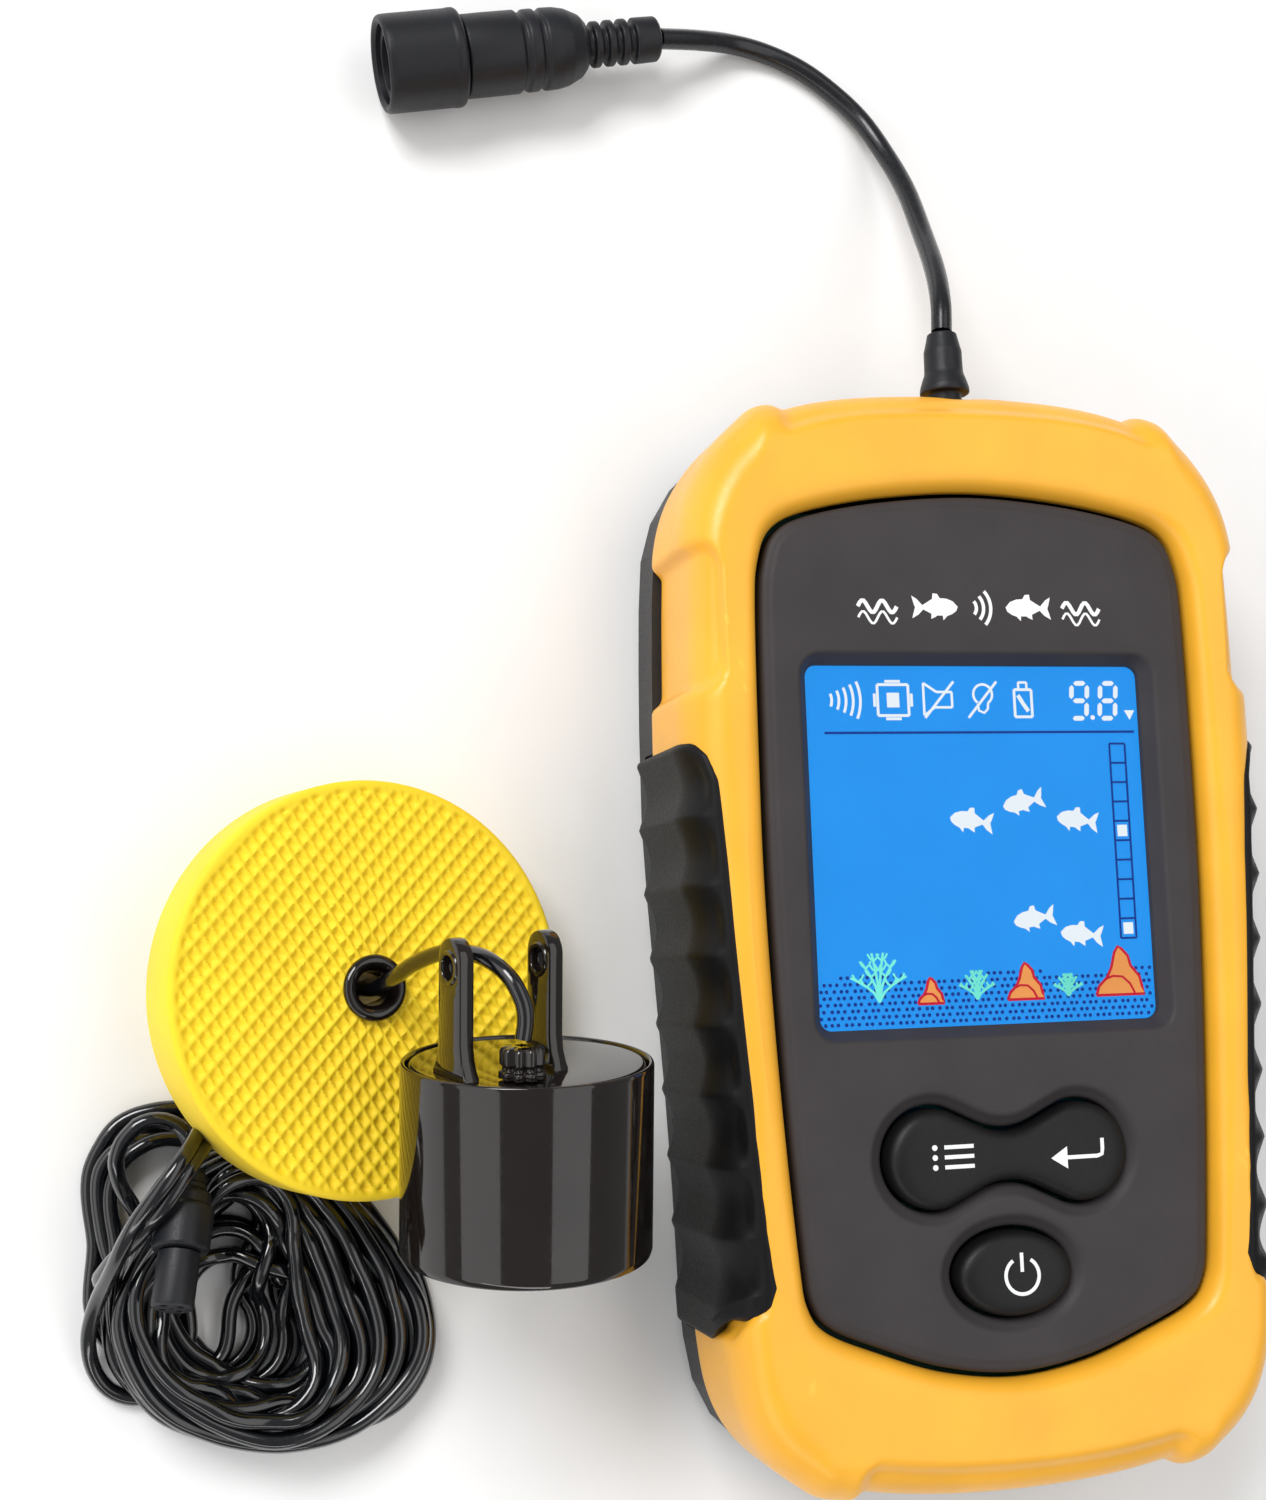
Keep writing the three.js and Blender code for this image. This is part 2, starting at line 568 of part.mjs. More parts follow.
const inner = SONAR.radius - CUP_WALL;
const high = SONAR.height;
add('transducer_cup', turned([
  [0, 0], [SONAR.radius - 0.7, 0], [SONAR.radius, 0.7], [SONAR.radius, high - 0.3],
  [SONAR.radius - 0.3, high], [inner, high], [inner, 1.6], [0, 1.6],
], 40), 'gloss', sonarPlace);
add('piezo_disc', cylinder(10, 1.9, 5.4, 0, 0, 28), 'ceramic', sonarPlace);
add('acoustic_backing', cylinder(11, 5.7, 10.7, 0, 0, 28), 'cork', sonarPlace);
add('potting', cylinder(inner - GAP, 11, 18.4, 0, 0, 32), 'resin', sonarPlace);

// One ear of the clevis, standing on the cap: a plate with a round top, a hole and a flared foot.
function ear(side, capTop) {
  const half = EAR.width / 2;
  const plate = new THREE.Shape();
  plate.moveTo(-half - EAR.foot, -1);
  plate.lineTo(half + EAR.foot, -1);
  plate.lineTo(half + EAR.foot, 2.2);
  plate.lineTo(half, 4);
  plate.absarc(0, EAR.height - half, half, 0, Math.PI);
  plate.lineTo(-half, 4);
  plate.lineTo(-half - EAR.foot, 2.2);
  const hole = new THREE.Path();
  hole.absarc(0, EAR_HOLE.height, EAR_HOLE.radius, 0, 2 * Math.PI, true);
  plate.holes.push(hole);
  const geometry = new THREE.ExtrudeGeometry(plate, {
    depth: EAR.thick, bevelEnabled: false, curveSegments: 8,
  });
  geometry.translate(0, 0, -EAR.thick / 2).rotateX(Math.PI / 2).rotateZ(Math.PI / 2);
  geometry.translate(side * EAR.half, 0, capTop);
  return geometry.rotateZ(degrees(-EAR.turn)).translate(EAR.midX, EAR.midY, 0);
}

const capTop = high - 0.4;
add('transducer_cap', union(
  cylinder(inner - GAP, 18.8, capTop, 0, 0, 36),
  ear(1, capTop),
  ear(-1, capTop),
), 'gloss', sonarPlace);

const reliefProfile = [[0, 0], [RELIEF.radius, 0]];
for (let i = 0; i < 2; i += 1) {
  const start = 0.8 + 1.2 * i;
  reliefProfile.push([RELIEF.radius, start], [1.9, start + 0.1]);
  reliefProfile.push([1.9, start + 0.4], [RELIEF.radius, start + 0.5]);
}
reliefProfile.push([RELIEF.radius, RELIEF.height - 0.3], [1.9, RELIEF.height], [0, RELIEF.height]);
add('lead_relief', turned(reliefProfile, 16).translate(RELIEF.x, RELIEF.y, capTop + GAP),
  'rubber', sonarPlace);

// ---------------------------------------------------------------- sonar lead, hank and plug

add('sonar_lead', tube(LEAD_ROUTE, LEAD_RADIUS, 40), 'rubber');
add('lead_tail', tube(TAIL_ROUTE, LEAD_RADIUS, 8), 'rubber');

// The wound lead as one solid, hollowed where the float and the transducer lie over it.
const hankOutline = new THREE.Shape(HANK_OUTLINE.map(pair));
const floatSpace = turned([
  [0, -1.6], [rim + 0.6, -1.6], [rim + 0.6, 40], [0, 40],
], 32).applyMatrix4(floatPlace);
const sonarSpace = cylinder(SONAR.radius + 0.6, -1, 40, 0, 0, 28).applyMatrix4(sonarPlace);
const leadSpace = cylinder(1.5, -1, 3, -86.9, -19.6, 12);
add('lead_hank', cut(
  extrude(hankOutline, 0, HANK_HEIGHT, { bevel: 1.6, segments: 2 }),
  floatSpace,
  sonarSpace,
  leadSpace,
), 'rubber');

const plugPlace = new THREE.Matrix4()
  .makeTranslation(...PLUG.tip)
  .multiply(new THREE.Matrix4().makeRotationZ(degrees(PLUG.heading)))
  .multiply(new THREE.Matrix4().makeRotationY(Math.PI / 2));
const collarStart = PLUG.noseLength;
const collarEnd = collarStart + PLUG.collarLength;
const plugEnd = collarEnd + PLUG.barrelLength;
add('plug_body', turned([
  [0, collarStart + GAP], [PLUG.collar, collarStart + GAP], [PLUG.collar, collarEnd - 0.4],
  [2.7, collarEnd], [2.7, collarEnd + 1.4], [1.5, plugEnd], [0, plugEnd],
], 20), 'rubber', plugPlace);
const socketHoles = [45, 135, 225, 315].map((angle) => {
  const x = 1.25 * Math.cos(degrees(angle));
  const y = 1.25 * Math.sin(degrees(angle));
  return cylinder(0.5, -1, 4, x, y, 8);
});
add('plug_insert', cut(cylinder(PLUG.nose, 0, collarStart, 0, 0, 18), ...socketHoles), 'black',
  plugPlace);

export default group;
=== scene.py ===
"""Looks for a handheld fish finder and its wired sonar set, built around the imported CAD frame.

Shapes are worked out in millimetres in the CAD frame and turned into metres when a mesh is made.
+X is to the right of the display, +Y runs to the cable end, +Z is up, and the table is z = 0.
"""

import math

import bmesh
import bpy
import numpy as np
from mathutils import Matrix, Vector
from mathutils.geometry import delaunay_2d_cdt


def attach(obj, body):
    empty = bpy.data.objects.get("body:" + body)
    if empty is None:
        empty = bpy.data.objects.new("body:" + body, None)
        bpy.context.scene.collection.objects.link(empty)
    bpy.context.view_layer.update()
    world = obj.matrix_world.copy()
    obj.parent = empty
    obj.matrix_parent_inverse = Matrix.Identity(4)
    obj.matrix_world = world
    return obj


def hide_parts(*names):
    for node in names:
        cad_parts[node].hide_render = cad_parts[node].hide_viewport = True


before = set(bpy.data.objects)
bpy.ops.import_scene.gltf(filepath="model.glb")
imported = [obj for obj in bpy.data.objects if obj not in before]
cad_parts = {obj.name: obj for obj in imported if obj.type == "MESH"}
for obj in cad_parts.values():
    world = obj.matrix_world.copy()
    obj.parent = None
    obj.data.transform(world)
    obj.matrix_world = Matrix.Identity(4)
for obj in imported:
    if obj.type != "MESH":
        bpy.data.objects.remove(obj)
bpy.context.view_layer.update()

MM = 0.001
TAU = 2 * math.pi
rad = math.radians

# ---------------------------------------------------------------- camera

CAMERA_AT = (-100.74, -4.96, 251.53)
CAMERA_AXES = ((0.9698, -0.0347, 0.2416), (0.0064, 0.9931, 0.1169), (-0.2440, -0.1118, 0.9633))
LENS_MM = 48
SENSOR_MM = 36


def add(name, data):
    obj = bpy.data.objects.new(name, data)
    bpy.context.scene.collection.objects.link(obj)
    return obj


lens = bpy.data.cameras.new("camera")
lens.lens = LENS_MM
lens.sensor_width = SENSOR_MM
lens.clip_start = 0.01
camera = add("camera", lens)
turn = Matrix(CAMERA_AXES).transposed().to_4x4()
camera.matrix_world = Matrix.Translation(Vector(CAMERA_AT) * MM) @ turn
bpy.context.scene.camera = camera
bpy.context.scene.view_settings.view_transform = "Standard"

# ---------------------------------------------------------------- sizes shared with the CAD

PANEL_GAP = 0.6
PARTING_Z = 10
FOOT_Z = PARTING_Z + 0.15
TOP_Z = 29.6
SHOULDER_HEIGHT = 7
SHOULDER_INSET = 6
SHOULDER_Z = TOP_Z - SHOULDER_HEIGHT
PANEL_Z = 28
WINDOW_Y = 9.5
# Width, height and corner radius of the opening over the display.
SIGHT = (44, 43.8, 1.5)
ROCKER_Y, LOBE_X, LOBE, WAIST = -27.7, 9.4, 5.8, 2.8
POWER_Y, POWER_HALF = -41.4, (7.2, 4.9)
KEY_Z, KEY_GAP = 29.4, 0.45
BOOT_Z, BOOT_WALL_Y = 21.5, 67.3
CASE_HALF = [
    (0, 67.2), (10, 66.9), (18, 66), (24, 64.4), (28.5, 61.9), (32, 58.4), (34.8, 53.8),
    (36.3, 48.6), (36.8, 42), (37.1, 34), (37.3, 26), (37.4, 14), (37, 4), (36.3, -8),
    (35.6, -20), (35.1, -32), (34.8, -44), (34.4, -50), (33.4, -55.5), (31.2, -60),
    (27.6, -63.6), (23, -65.9), (17, -67.3), (9, -68.2), (0, -68.5),
]
PANEL_HALF = [
    (0, 52.2), (12, 51.3), (21.5, 49.4), (25.6, 47.2), (27.2, 43.5), (27.8, 38), (28, 20),
    (27.9, 3), (27.1, -18), (25.8, -38), (25, -43.4), (22.8, -46.3), (17, -48.9),
    (9, -51.7), (0, -52.9),
]
PIGTAIL_D = 2.7
PIGTAIL_ROUTE = [
    (0, 75.1, 21.5), (0.5, 79.4, 20.6), (1.4, 85, 17.2), (2.1, 92.1, 12), (2.1, 99.9, 7.2),
    (0.8, 106.2, 3.8), (-1.9, 111.8, 2), (-5.9, 115.8, 1.5), (-10.2, 118.7, 1.4),
    (-15.2, 120.6, 1.5), (-20.4, 121.1, 2.4), (-25.9, 120.2, 4.5), (-31.6, 119.12, 6.2),
]
LEAD_D = 1.9
LEAD_ROUTE = [
    (-60.1, -11.32, 38.8), (-59.9, -8.3, 39.3), (-61.3, -4.8, 38.6), (-63.5, -2.6, 36.2),
    (-65.6, -1.8, 33), (-67.5, -1.8, 29.5), (-69.7, -2.8, 25), (-71.4, -4.2, 20.8),
    (-73.2, -5.4, 15.6), (-74.5, -5.4, 11.2), (-75.8, -5.5, 6.9), (-76.9, -6.3, 3.6),
    (-79, -8.4, 1.6), (-82, -12, 1.1), (-85, -16, 1.1), (-86.9, -19.3, 1.1),
]
TAIL_ROUTE = [
    (-102.6, -24.2, 9.7), (-102, -21.8, 10.2), (-100, -20.1, 10.5), (-97.4, -19.7, 10.4),
    (-95.2, -20.9, 10.3), (-94.05, -23.2, 10.6), (-94.2, -25.4, 11.35),
]
SOCKET_TAIL, SOCKET_HEADING, SOCKET_LENGTH = (-31.9, 119.07, 6.2), 190.15, 37.6
FLOAT_AT, FLOAT_TILT, FLOAT_R, FLOAT_T = (-75.8, -5.4, 6.8), 16, 24.5, 9.2
SONAR_CAP, SONAR_RAISE, SONAR_ROLL, SONAR_R, SONAR_H = (-57.8, -13.9, 28.9), 10.1, 11.2, 14.25, 22
PLUG_TIP, PLUG_HEADING, PLUG_DIP = (-96.6, -40.1, 17.3), 80.6, 22


def place(at, *turns):
    """Where a part drawn about its own Z axis lies: turns are (degrees, axis), outermost first."""
    matrix = Matrix.Translation(at)
    for degrees, axis in turns:
        matrix = matrix @ Matrix.Rotation(rad(degrees), 4, axis)
    return matrix


SOCKET_PLACE = place(SOCKET_TAIL, (SOCKET_HEADING, "Z"), (-90, "Y"))
SOCKET_PLACE = SOCKET_PLACE @ Matrix.Translation((0, 0, -SOCKET_LENGTH))
FLOAT_PLACE = place(FLOAT_AT, (FLOAT_TILT, "Y"))
SONAR_PLACE = place(SONAR_CAP, (SONAR_RAISE, "X"), (-SONAR_ROLL, "Y"), (-90, "X"))
SONAR_PLACE = SONAR_PLACE @ Matrix.Translation((0, 0, -SONAR_H))
PLUG_PLACE = place(PLUG_TIP, (PLUG_HEADING, "Z"), (90 + PLUG_DIP, "Y"))
BOOT_PLACE = place((0, BOOT_WALL_Y, BOOT_Z), (-90, "X"))

# ---------------------------------------------------------------- materials


UNLIT = 0.06
ROUGH_SPREAD = 0.07
RELIEF_SHARE = 0.15
EDGE_START, EDGE_END = 0.53, 0.62


def finish(name, color, rough, vary=0.06, grain=0.5, bump=0.2, metal=0.0, coat=0.0,
           coat_rough=0.08, wear=0.0, emission=0.0, alpha=1.0, sheen=0.0, patch=9.0, specular=0.5):
    """A moulded, painted or metal surface: colour drifts in patches, and a fine grain roughens it.
    grain and patch are sizes in millimetres; wear lightens the edges. A surface with emission
    shows its colour by its own light and is nearly black without it."""
    material = bpy.data.materials.new(name)
    material.use_nodes = True
    nodes, link = material.node_tree.nodes, material.node_tree.links.new
    shader = nodes["Principled BSDF"]
    where = nodes.new("ShaderNodeTexCoord").outputs["Object"]

    def noise(size, detail):
        node = nodes.new("ShaderNodeTexNoise")
        node.inputs["Scale"].default_value = 1 / (size * MM)
        node.inputs["Detail"].default_value = detail
        link(where, node.inputs["Vector"])
        return node.outputs["Fac"]

    def mix(factor, a, b):
        node = nodes.new("ShaderNodeMix")
        node.data_type = "RGBA"
        for socket, value in ((node.inputs[0], factor), (node.inputs[6], a), (node.inputs[7], b)):
            if isinstance(value, bpy.types.NodeSocket):
                link(value, socket)
            else:
                socket.default_value = value
        return node.outputs[2]

    def ranged(value, low, high, start=0.3, end=0.7):
        node = nodes.new("ShaderNodeMapRange")
        for key, number in (("From Min", start), ("From Max", end), ("To Min", low), ("To Max", high)):
            node.inputs[key].default_value = number
        link(value, node.inputs["Value"])
        return node.outputs["Result"]

    drift = noise(patch, 3)
    fine = noise(grain, 4)

    def drifted(scale):
        dark = (*(scale * c * (1 - vary) for c in color), 1)
        light = (*(scale * min(1, c * (1 + vary)) for c in color), 1)
        return mix(ranged(drift, 0, 1), dark, light)

    tint = drifted(UNLIT if emission else 1)
    if wear:
        bulge = nodes.new("ShaderNodeNewGeometry").outputs["Pointiness"]
        edge = ranged(bulge, 0, wear, EDGE_START, EDGE_END)
        tint = mix(edge, tint, (*(min(1, c * 1.5 + 0.06) for c in color), 1))
    link(tint, shader.inputs["Base Color"])
    smooth, coarse = max(0.02, rough - ROUGH_SPREAD), min(1, rough + ROUGH_SPREAD)
    link(ranged(fine, smooth, coarse), shader.inputs["Roughness"])
    relief = nodes.new("ShaderNodeBump")
    relief.inputs["Strength"].default_value = bump
    relief.inputs["Distance"].default_value = grain * RELIEF_SHARE * MM
    link(fine, relief.inputs["Height"])
    link(relief.outputs["Normal"], shader.inputs["Normal"])
    for key, value in (("Metallic", metal), ("Specular IOR Level", specular), ("Coat Weight", coat),
                       ("Coat Roughness", coat_rough), ("Sheen Weight", sheen), ("Alpha", alpha)):
        shader.inputs[key].default_value = value
    if emission:
        link(drifted(1), shader.inputs["Emission Color"])
        shader.inputs["Emission Strength"].default_value = emission
    return material


def lit(name, color, emission=0.9, vary=0.1, grain=0.4, rough=0.5):
    """A colour of the display."""
    return finish(name, color, rough, vary, grain, 0.05, emission=emission, specular=0.1)


M = {
    "yellow": finish("bumper_yellow", (0.93, 0.45, 0.03), 0.36, 0.05, 0.35, 0.12, wear=0.2),
    "panel": finish("panel_grey", (0.042, 0.037, 0.039), 0.55, 0.08, 0.22, 0.4, wear=0.35,
                    specular=0.28),
    "shell": finish("shell_black", (0.007, 0.007, 0.0085), 0.48, 0.15, 0.3, 0.35, wear=0.35,
                    specular=0.3),
    "key": finish("key_rubber", (0.005, 0.005, 0.0055), 0.45, 0.15, 0.25, 0.25, wear=0.15,
                  specular=0.3),
    "grip": finish("grip_rubber", (0.0045, 0.0045, 0.0055), 0.5, 0.2, 0.3, 0.4, wear=0.15,
                   specular=0.18),
    "connector": finish("connector_rubber", (0.0075, 0.008, 0.011), 0.45, 0.15, 0.25, 0.35,
                        wear=0.25, specular=0.35),
    "cord": finish("cord_rubber", (0.003, 0.0035, 0.005), 0.16, 0.2, 0.5, 0.06, coat=0.8,
                   coat_rough=0.1, specular=0.4),
    "pigtail": finish("pigtail_rubber", (0.006, 0.0065, 0.009), 0.3, 0.2, 0.5, 0.12, coat=0.2,
                      specular=0.4),
    "foam": finish("float_foam", (1.0, 0.69, 0.012), 0.62, 0.05, 0.22, 0.5, sheen=0.05),
    "gloss": finish("gloss_black", (0.009, 0.0062, 0.0052), 0.08, 0.2, 0.8, 0.01, coat=0.5,
                    coat_rough=0.05, specular=0.35),
    "print": finish("white_print", (0.86, 0.87, 0.88), 0.5, 0.03, 0.15, 0.3),
    "display": lit("display_blue", (0.012, 0.3, 0.89), 0.98, 0.02, 0.12, 0.4),
    "lit_white": lit("display_white", (0.86, 0.93, 1.0), 0.95, 0.02, 0.12),
    "lit_navy": lit("display_navy", (0.004, 0.035, 0.3), vary=0.05, grain=0.12),
    "lit_green": lit("display_green", (0.2, 0.93, 0.74), vary=0.15),
    "lit_orange": lit("display_orange", (0.95, 0.36, 0.09)),
    "lit_red": lit("display_red", (0.62, 0.008, 0.03), grain=0.3),
    "glass": finish("window_clear", (0.03, 0.05, 0.08), 0.07, 0.03, 1.5, 0.02, alpha=0.04),
    "seal": finish("seal_rubber", (0.012, 0.012, 0.012), 0.7, 0.2, 0.4, 0.4),
    "steel": finish("steel", (0.62, 0.62, 0.63), 0.3, 0.06, 0.12, 0.3, metal=1.0, wear=0.4),
    "brass": finish("brass", (0.78, 0.52, 0.2), 0.28, 0.08, 0.15, 0.3, metal=1.0, wear=0.4),
    "board": finish("board_green", (0.012, 0.13, 0.045), 0.42, 0.3, 0.9, 0.5, patch=1.8),
    "chip": finish("chip_epoxy", (0.014, 0.014, 0.015), 0.55, 0.15, 0.15, 0.4),
    "coil": finish("coil_varnish", (0.28, 0.07, 0.02), 0.3, 0.2, 0.3, 0.6, coat=0.4),
    "cell": finish("cell_wrap", (0.06, 0.09, 0.13), 0.28, 0.1, 0.6, 0.1, metal=0.6, coat=0.4),
    "diffuser": finish("diffuser_white", (0.8, 0.82, 0.84), 0.6, 0.03, 0.3, 0.2),
    "ceramic": finish("piezo_ceramic", (0.72, 0.66, 0.52), 0.5, 0.06, 0.2, 0.4),
    "cork": finish("cork", (0.36, 0.19, 0.085), 0.85, 0.4, 0.7, 0.8, patch=1.1),
    "resin": finish("potting_resin", (0.02, 0.015, 0.012), 0.25, 0.2, 1.0, 0.15, coat=0.4),
}

CAD_FINISHES = {
    "shell": ["back_shell", "battery_door"], "seal": ["case_seal"],
    "steel": ["dome_left", "dome_right", "dome_power"],
    "diffuser": ["backlight"], "display": ["lcd_panel"], "board": ["main_board"],
    "chip": ["sonar_chip", "buzzer"], "coil": ["pulse_coil"],
    "cell": [f"battery_cell_{i}" for i in (1, 2, 3, 4)],
    "brass": ["contacts_foot", "contacts_head", "socket_insert"],
    "ceramic": ["piezo_disc"], "cork": ["acoustic_backing"], "resin": ["potting"],
}
for key, names in CAD_FINISHES.items():
    for node in names:
        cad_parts[node].data.materials.clear()
        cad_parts[node].data.materials.append(M[key])

# ---------------------------------------------------------------- mesh helpers

MERGE = 0.002
SPAN_STEPS = 12


def piece(name, points, faces, material, body="handheld", at=None, sharp=35, slot=None, stands_for=()):
    """A mesh piece from points in millimetres, riding on a CAD body."""
    moved = [Vector((float(p[0]), float(p[1]), float(p[2]))) for p in points]
    if at is not None:
        moved = [at @ p for p in moved]
    mesh = bpy.data.meshes.new(name)
    mesh.from_pydata([p * MM for p in moved], [], faces)
    mesh.validate()
    work = bmesh.new()
    work.from_mesh(mesh)
    bmesh.ops.remove_doubles(work, verts=work.verts, dist=MERGE * MM)
    bmesh.ops.recalc_face_normals(work, faces=work.faces)
    work.to_mesh(mesh)
    work.free()
    mesh.polygons.foreach_set("use_smooth", [True] * len(mesh.polygons))
    if sharp:
        mesh.set_sharp_from_angle(angle=rad(sharp))
    mesh.materials.append(material)
    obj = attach(add(name, mesh), body)
    if stands_for:
        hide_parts(*stands_for)
    return obj


def modify(obj, kind, **settings):
    modifier = obj.modifiers.new(kind.lower(), kind)
    for key, value in settings.items():
        setattr(modifier, key, value)
    return obj


def smoothstep(value, low, high):
    t = np.clip((value - low) / (high - low), 0, 1)
    return t * t * (3 - 2 * t)


def spline(points, step, closed=False):
    """Even steps along a smooth curve through the points, in any number of dimensions."""
    p = np.array(points, float)
    if closed:
        ends = np.vstack([p[-1:], p, p[:2]])
    else:
        ends = np.vstack([2 * p[0] - p[1], p, 2 * p[-1] - p[-2]])
    t = np.linspace(0, 1, SPAN_STEPS + 1)[:-1, None]
    rows = [
        0.5 * (2 * b + (c - a) * t + (2 * a - 5 * b + 4 * c - d) * t ** 2
               + (3 * b - a - 3 * c + d) * t ** 3)
        for a, b, c, d in zip(ends, ends[1:], ends[2:], ends[3:])
    ]
    fine = np.vstack([*rows, p[:1] if closed else p[-1:]])
    along = np.r_[0, np.cumsum(np.linalg.norm(np.diff(fine, axis=0), axis=1))]
    count = max(2, round(along[-1] / step) + 1)
    at = np.linspace(0, along[-1], count)
    even = np.stack([np.interp(at, along, fine[:, k]) for k in range(p.shape[1])], axis=1)
    return even[:-1] if closed else even


def mirrored(half):
    """A whole outline, anticlockwise from the foot end, from its right half."""
    return list(reversed(half)) + [(-x, y) for x, y in half[1:-1]]


def outwards(loop):
    """Unit normals of a closed anticlockwise loop."""
    along = np.roll(loop, -1, 0) - np.roll(loop, 1, 0)
    out = np.stack([along[:, 1], -along[:, 0]], 1)
    return out / np.linalg.norm(out, axis=1)[:, None]


def grid_faces(rows, columns, wrap_rows=False, wrap_columns=False):
    faces = []
    for i in range(rows if wrap_rows else rows - 1):
        for j in range(columns if wrap_columns else columns - 1):
            a, b = (i + 1) % rows, (j + 1) % columns
            faces.append((i * columns + j, a * columns + j, a * columns + b, i * columns + b))
    return faces


def rounded(profile, radius=0.15, steps=3):
    """Softens each inner corner of an open profile."""
    soft = [Vector(profile[0])]
    for a, b, c in zip(profile, profile[1:], profile[2:]):
        a, b, c = Vector(a), Vector(b), Vector(c)
        cut = min(radius, (a - b).length * 0.45, (c - b).length * 0.45)
        start, end = b + (a - b).normalized() * cut, b + (c - b).normalized() * cut
        for i in range(steps + 1):
            t = i / steps
            soft.append((1 - t) ** 2 * start + 2 * t * (1 - t) * b + t * t * end)
    return soft + [Vector(profile[-1])]


def turned(name, profile, material, sides=64, radius=0.15, flutes=0, depth=0.0, **extra):
    """A turned piece about Z from [radius, z] points; flutes press grooves along its length."""
    soft = rounded(profile, radius)
    points = []
    for i in range(sides):
        angle = TAU * i / sides
        for r, z in soft:
            if flutes and r > 0.1:
                r -= depth * (0.5 + 0.5 * math.cos(flutes * angle)) ** 2
            points.append((max(r, 0) * math.cos(angle), max(r, 0) * math.sin(angle), z))
    closed = (soft[0] - soft[-1]).length < 1e-6
    return piece(name, points, grid_faces(sides, len(soft), True, closed), material, **extra)


def rounded_box(width, height, corner, x=0.0, y=0.0, per_corner=7):
    w, h = width / 2 - corner, height / 2 - corner
    loop = []
    for i, (cx, cy) in enumerate([(w, h), (-w, h), (-w, -h), (w, -h)]):
        for k in range(per_corner):
            a = (i + k / (per_corner - 1)) * math.pi / 2
            loop.append((x + cx + corner * math.cos(a), y + cy + corner * math.sin(a)))
    return np.array(loop)


def ellipse(half_width, half_height, x=0.0, y=0.0, count=72):
    a = np.arange(count) / count * TAU
    return np.stack([x + half_width * np.cos(a), y + half_height * np.sin(a)], 1)


def dumbbell(lobe=LOBE, waist=WAIST):
    """The rocker's outline: two round lobes joined by a narrow waist."""
    points = []
    for side in (1, -1):
        for i in range(15):
            a = rad(-122 + 244 * i / 14)
            points.append((side * (LOBE_X + lobe * math.cos(a)), side * lobe * math.sin(a)))
        points.append((side * 1.9, side * (waist + 0.22)))
        points.append((-side * 1.9, side * (waist + 0.22)))
    return spline([(x, y + ROCKER_Y) for x, y in points], 0.55, closed=True)


def inside(loop, x, y):
    """Whether a point is inside a loop."""
    a, b = loop, np.roll(loop, -1, 0)
    crosses = (a[:, 1] > y) != (b[:, 1] > y)
    rise = np.where(crosses, b[:, 1] - a[:, 1], 1)
    return bool(np.sum(crosses & (x < a[:, 0] + (y - a[:, 1]) / rise * (b[:, 0] - a[:, 0]))) % 2)


def faced(outer, outer_rim, holes=()):
    """Points and faces of a flat face with a shaped rim and shaped holes. A rim is (inset, z)
    steps from the outline inwards; a hole is (loop, rim) with its steps going away from the hole."""
    points, faces, borders = [], [], []
    for loop, rim, sign in [(outer, outer_rim, -1)] + [(lo, ri, 1) for lo, ri in holes]:
        out, start, count = outwards(loop), len(points), len(loop)
        for inset, z in rim:
            for x, y in loop + sign * inset * out:
                points.append((x, y, z))
        for k in range(len(rim) - 1):
            for i in range(count):
                j = (i + 1) % count
                a = start + k * count
                faces.append((a + i, a + j, a + count + j, a + count + i))
        borders.append((start + (len(rim) - 1) * count, count))
    loops = [np.array(points[start:start + count])[:, :2] for start, count in borders]
    flat, edges = [], []
    for loop in loops:
        base, count = len(flat), len(loop)
        flat += [Vector(p) for p in loop]
        edges += [(base + i, base + (i + 1) % count) for i in range(count)]
    found = delaunay_2d_cdt(flat, edges, [], 0, 1e-7)
    top = points[borders[0][0]][2]
    base = len(points)
    points += [(v.x, v.y, top) for v in found[0]]
    for triangle in found[2]:
        x, y = (sum(found[0][i][k] for i in triangle) / 3 for k in (0, 1))
        if inside(loops[0], x, y) and not any(inside(hole, x, y) for hole in loops[1:]):
            faces.append(tuple(base + i for i in triangle))
    return points, faces


def prisms(outlines, z0, z1):
    """Thin flat plates, one for each outline."""
    points, faces = [], []
    for outline in outlines:
        start, n = len(points), len(outline)
        points += [(x, y, z0) for x, y in outline] + [(x, y, z1) for x, y in outline]
        faces.append(tuple(range(start + n, start + 2 * n)))
        faces.append(tuple(reversed(range(start, start + n))))
        for i in range(n):
            j = (i + 1) % n
            faces.append((start + i, start + j, start + n + j, start + n + i))
    return points, faces


def stroke(points, width):
    """Outline of a line of that width along points."""
    p = np.array(points, float)
    along = np.gradient(p, axis=0)
    side = np.stack([-along[:, 1], along[:, 0]], 1)
    side *= width / 2 / np.linalg.norm(side, axis=1)[:, None]
    return [tuple(q) for q in np.vstack([p + side, (p - side)[::-1]])]


def bar(a, b, width):
    """Outline of a straight line of that width."""
    return stroke([a, ((a[0] + b[0]) / 2, (a[1] + b[1]) / 2), b], width)


def arc(x, y, radius, start, end, count=14):
    return [(x + radius * math.cos(rad(a)), y + radius * math.sin(rad(a)))
            for a in np.linspace(start, end, count)]


def cable(name, route, diameter, material, body, stands_for):
    """A round cord as one open curve through every point of a fine route."""
    curve = bpy.data.curves.new(name, "CURVE")
    curve.dimensions = "3D"
    line = curve.splines.new("POLY")
    line.points.add(len(route) - 1)
    line.points.foreach_set("co", np.hstack([route * MM, np.ones((len(route), 1))]).ravel())
    curve.bevel_depth = diameter / 2 * MM
    curve.bevel_resolution = 3
    curve.use_fill_caps = True
    curve.materials.append(material)
    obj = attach(add(name, curve), body)
    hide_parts(*stands_for)
    return obj


# ---------------------------------------------------------------- the wound lead

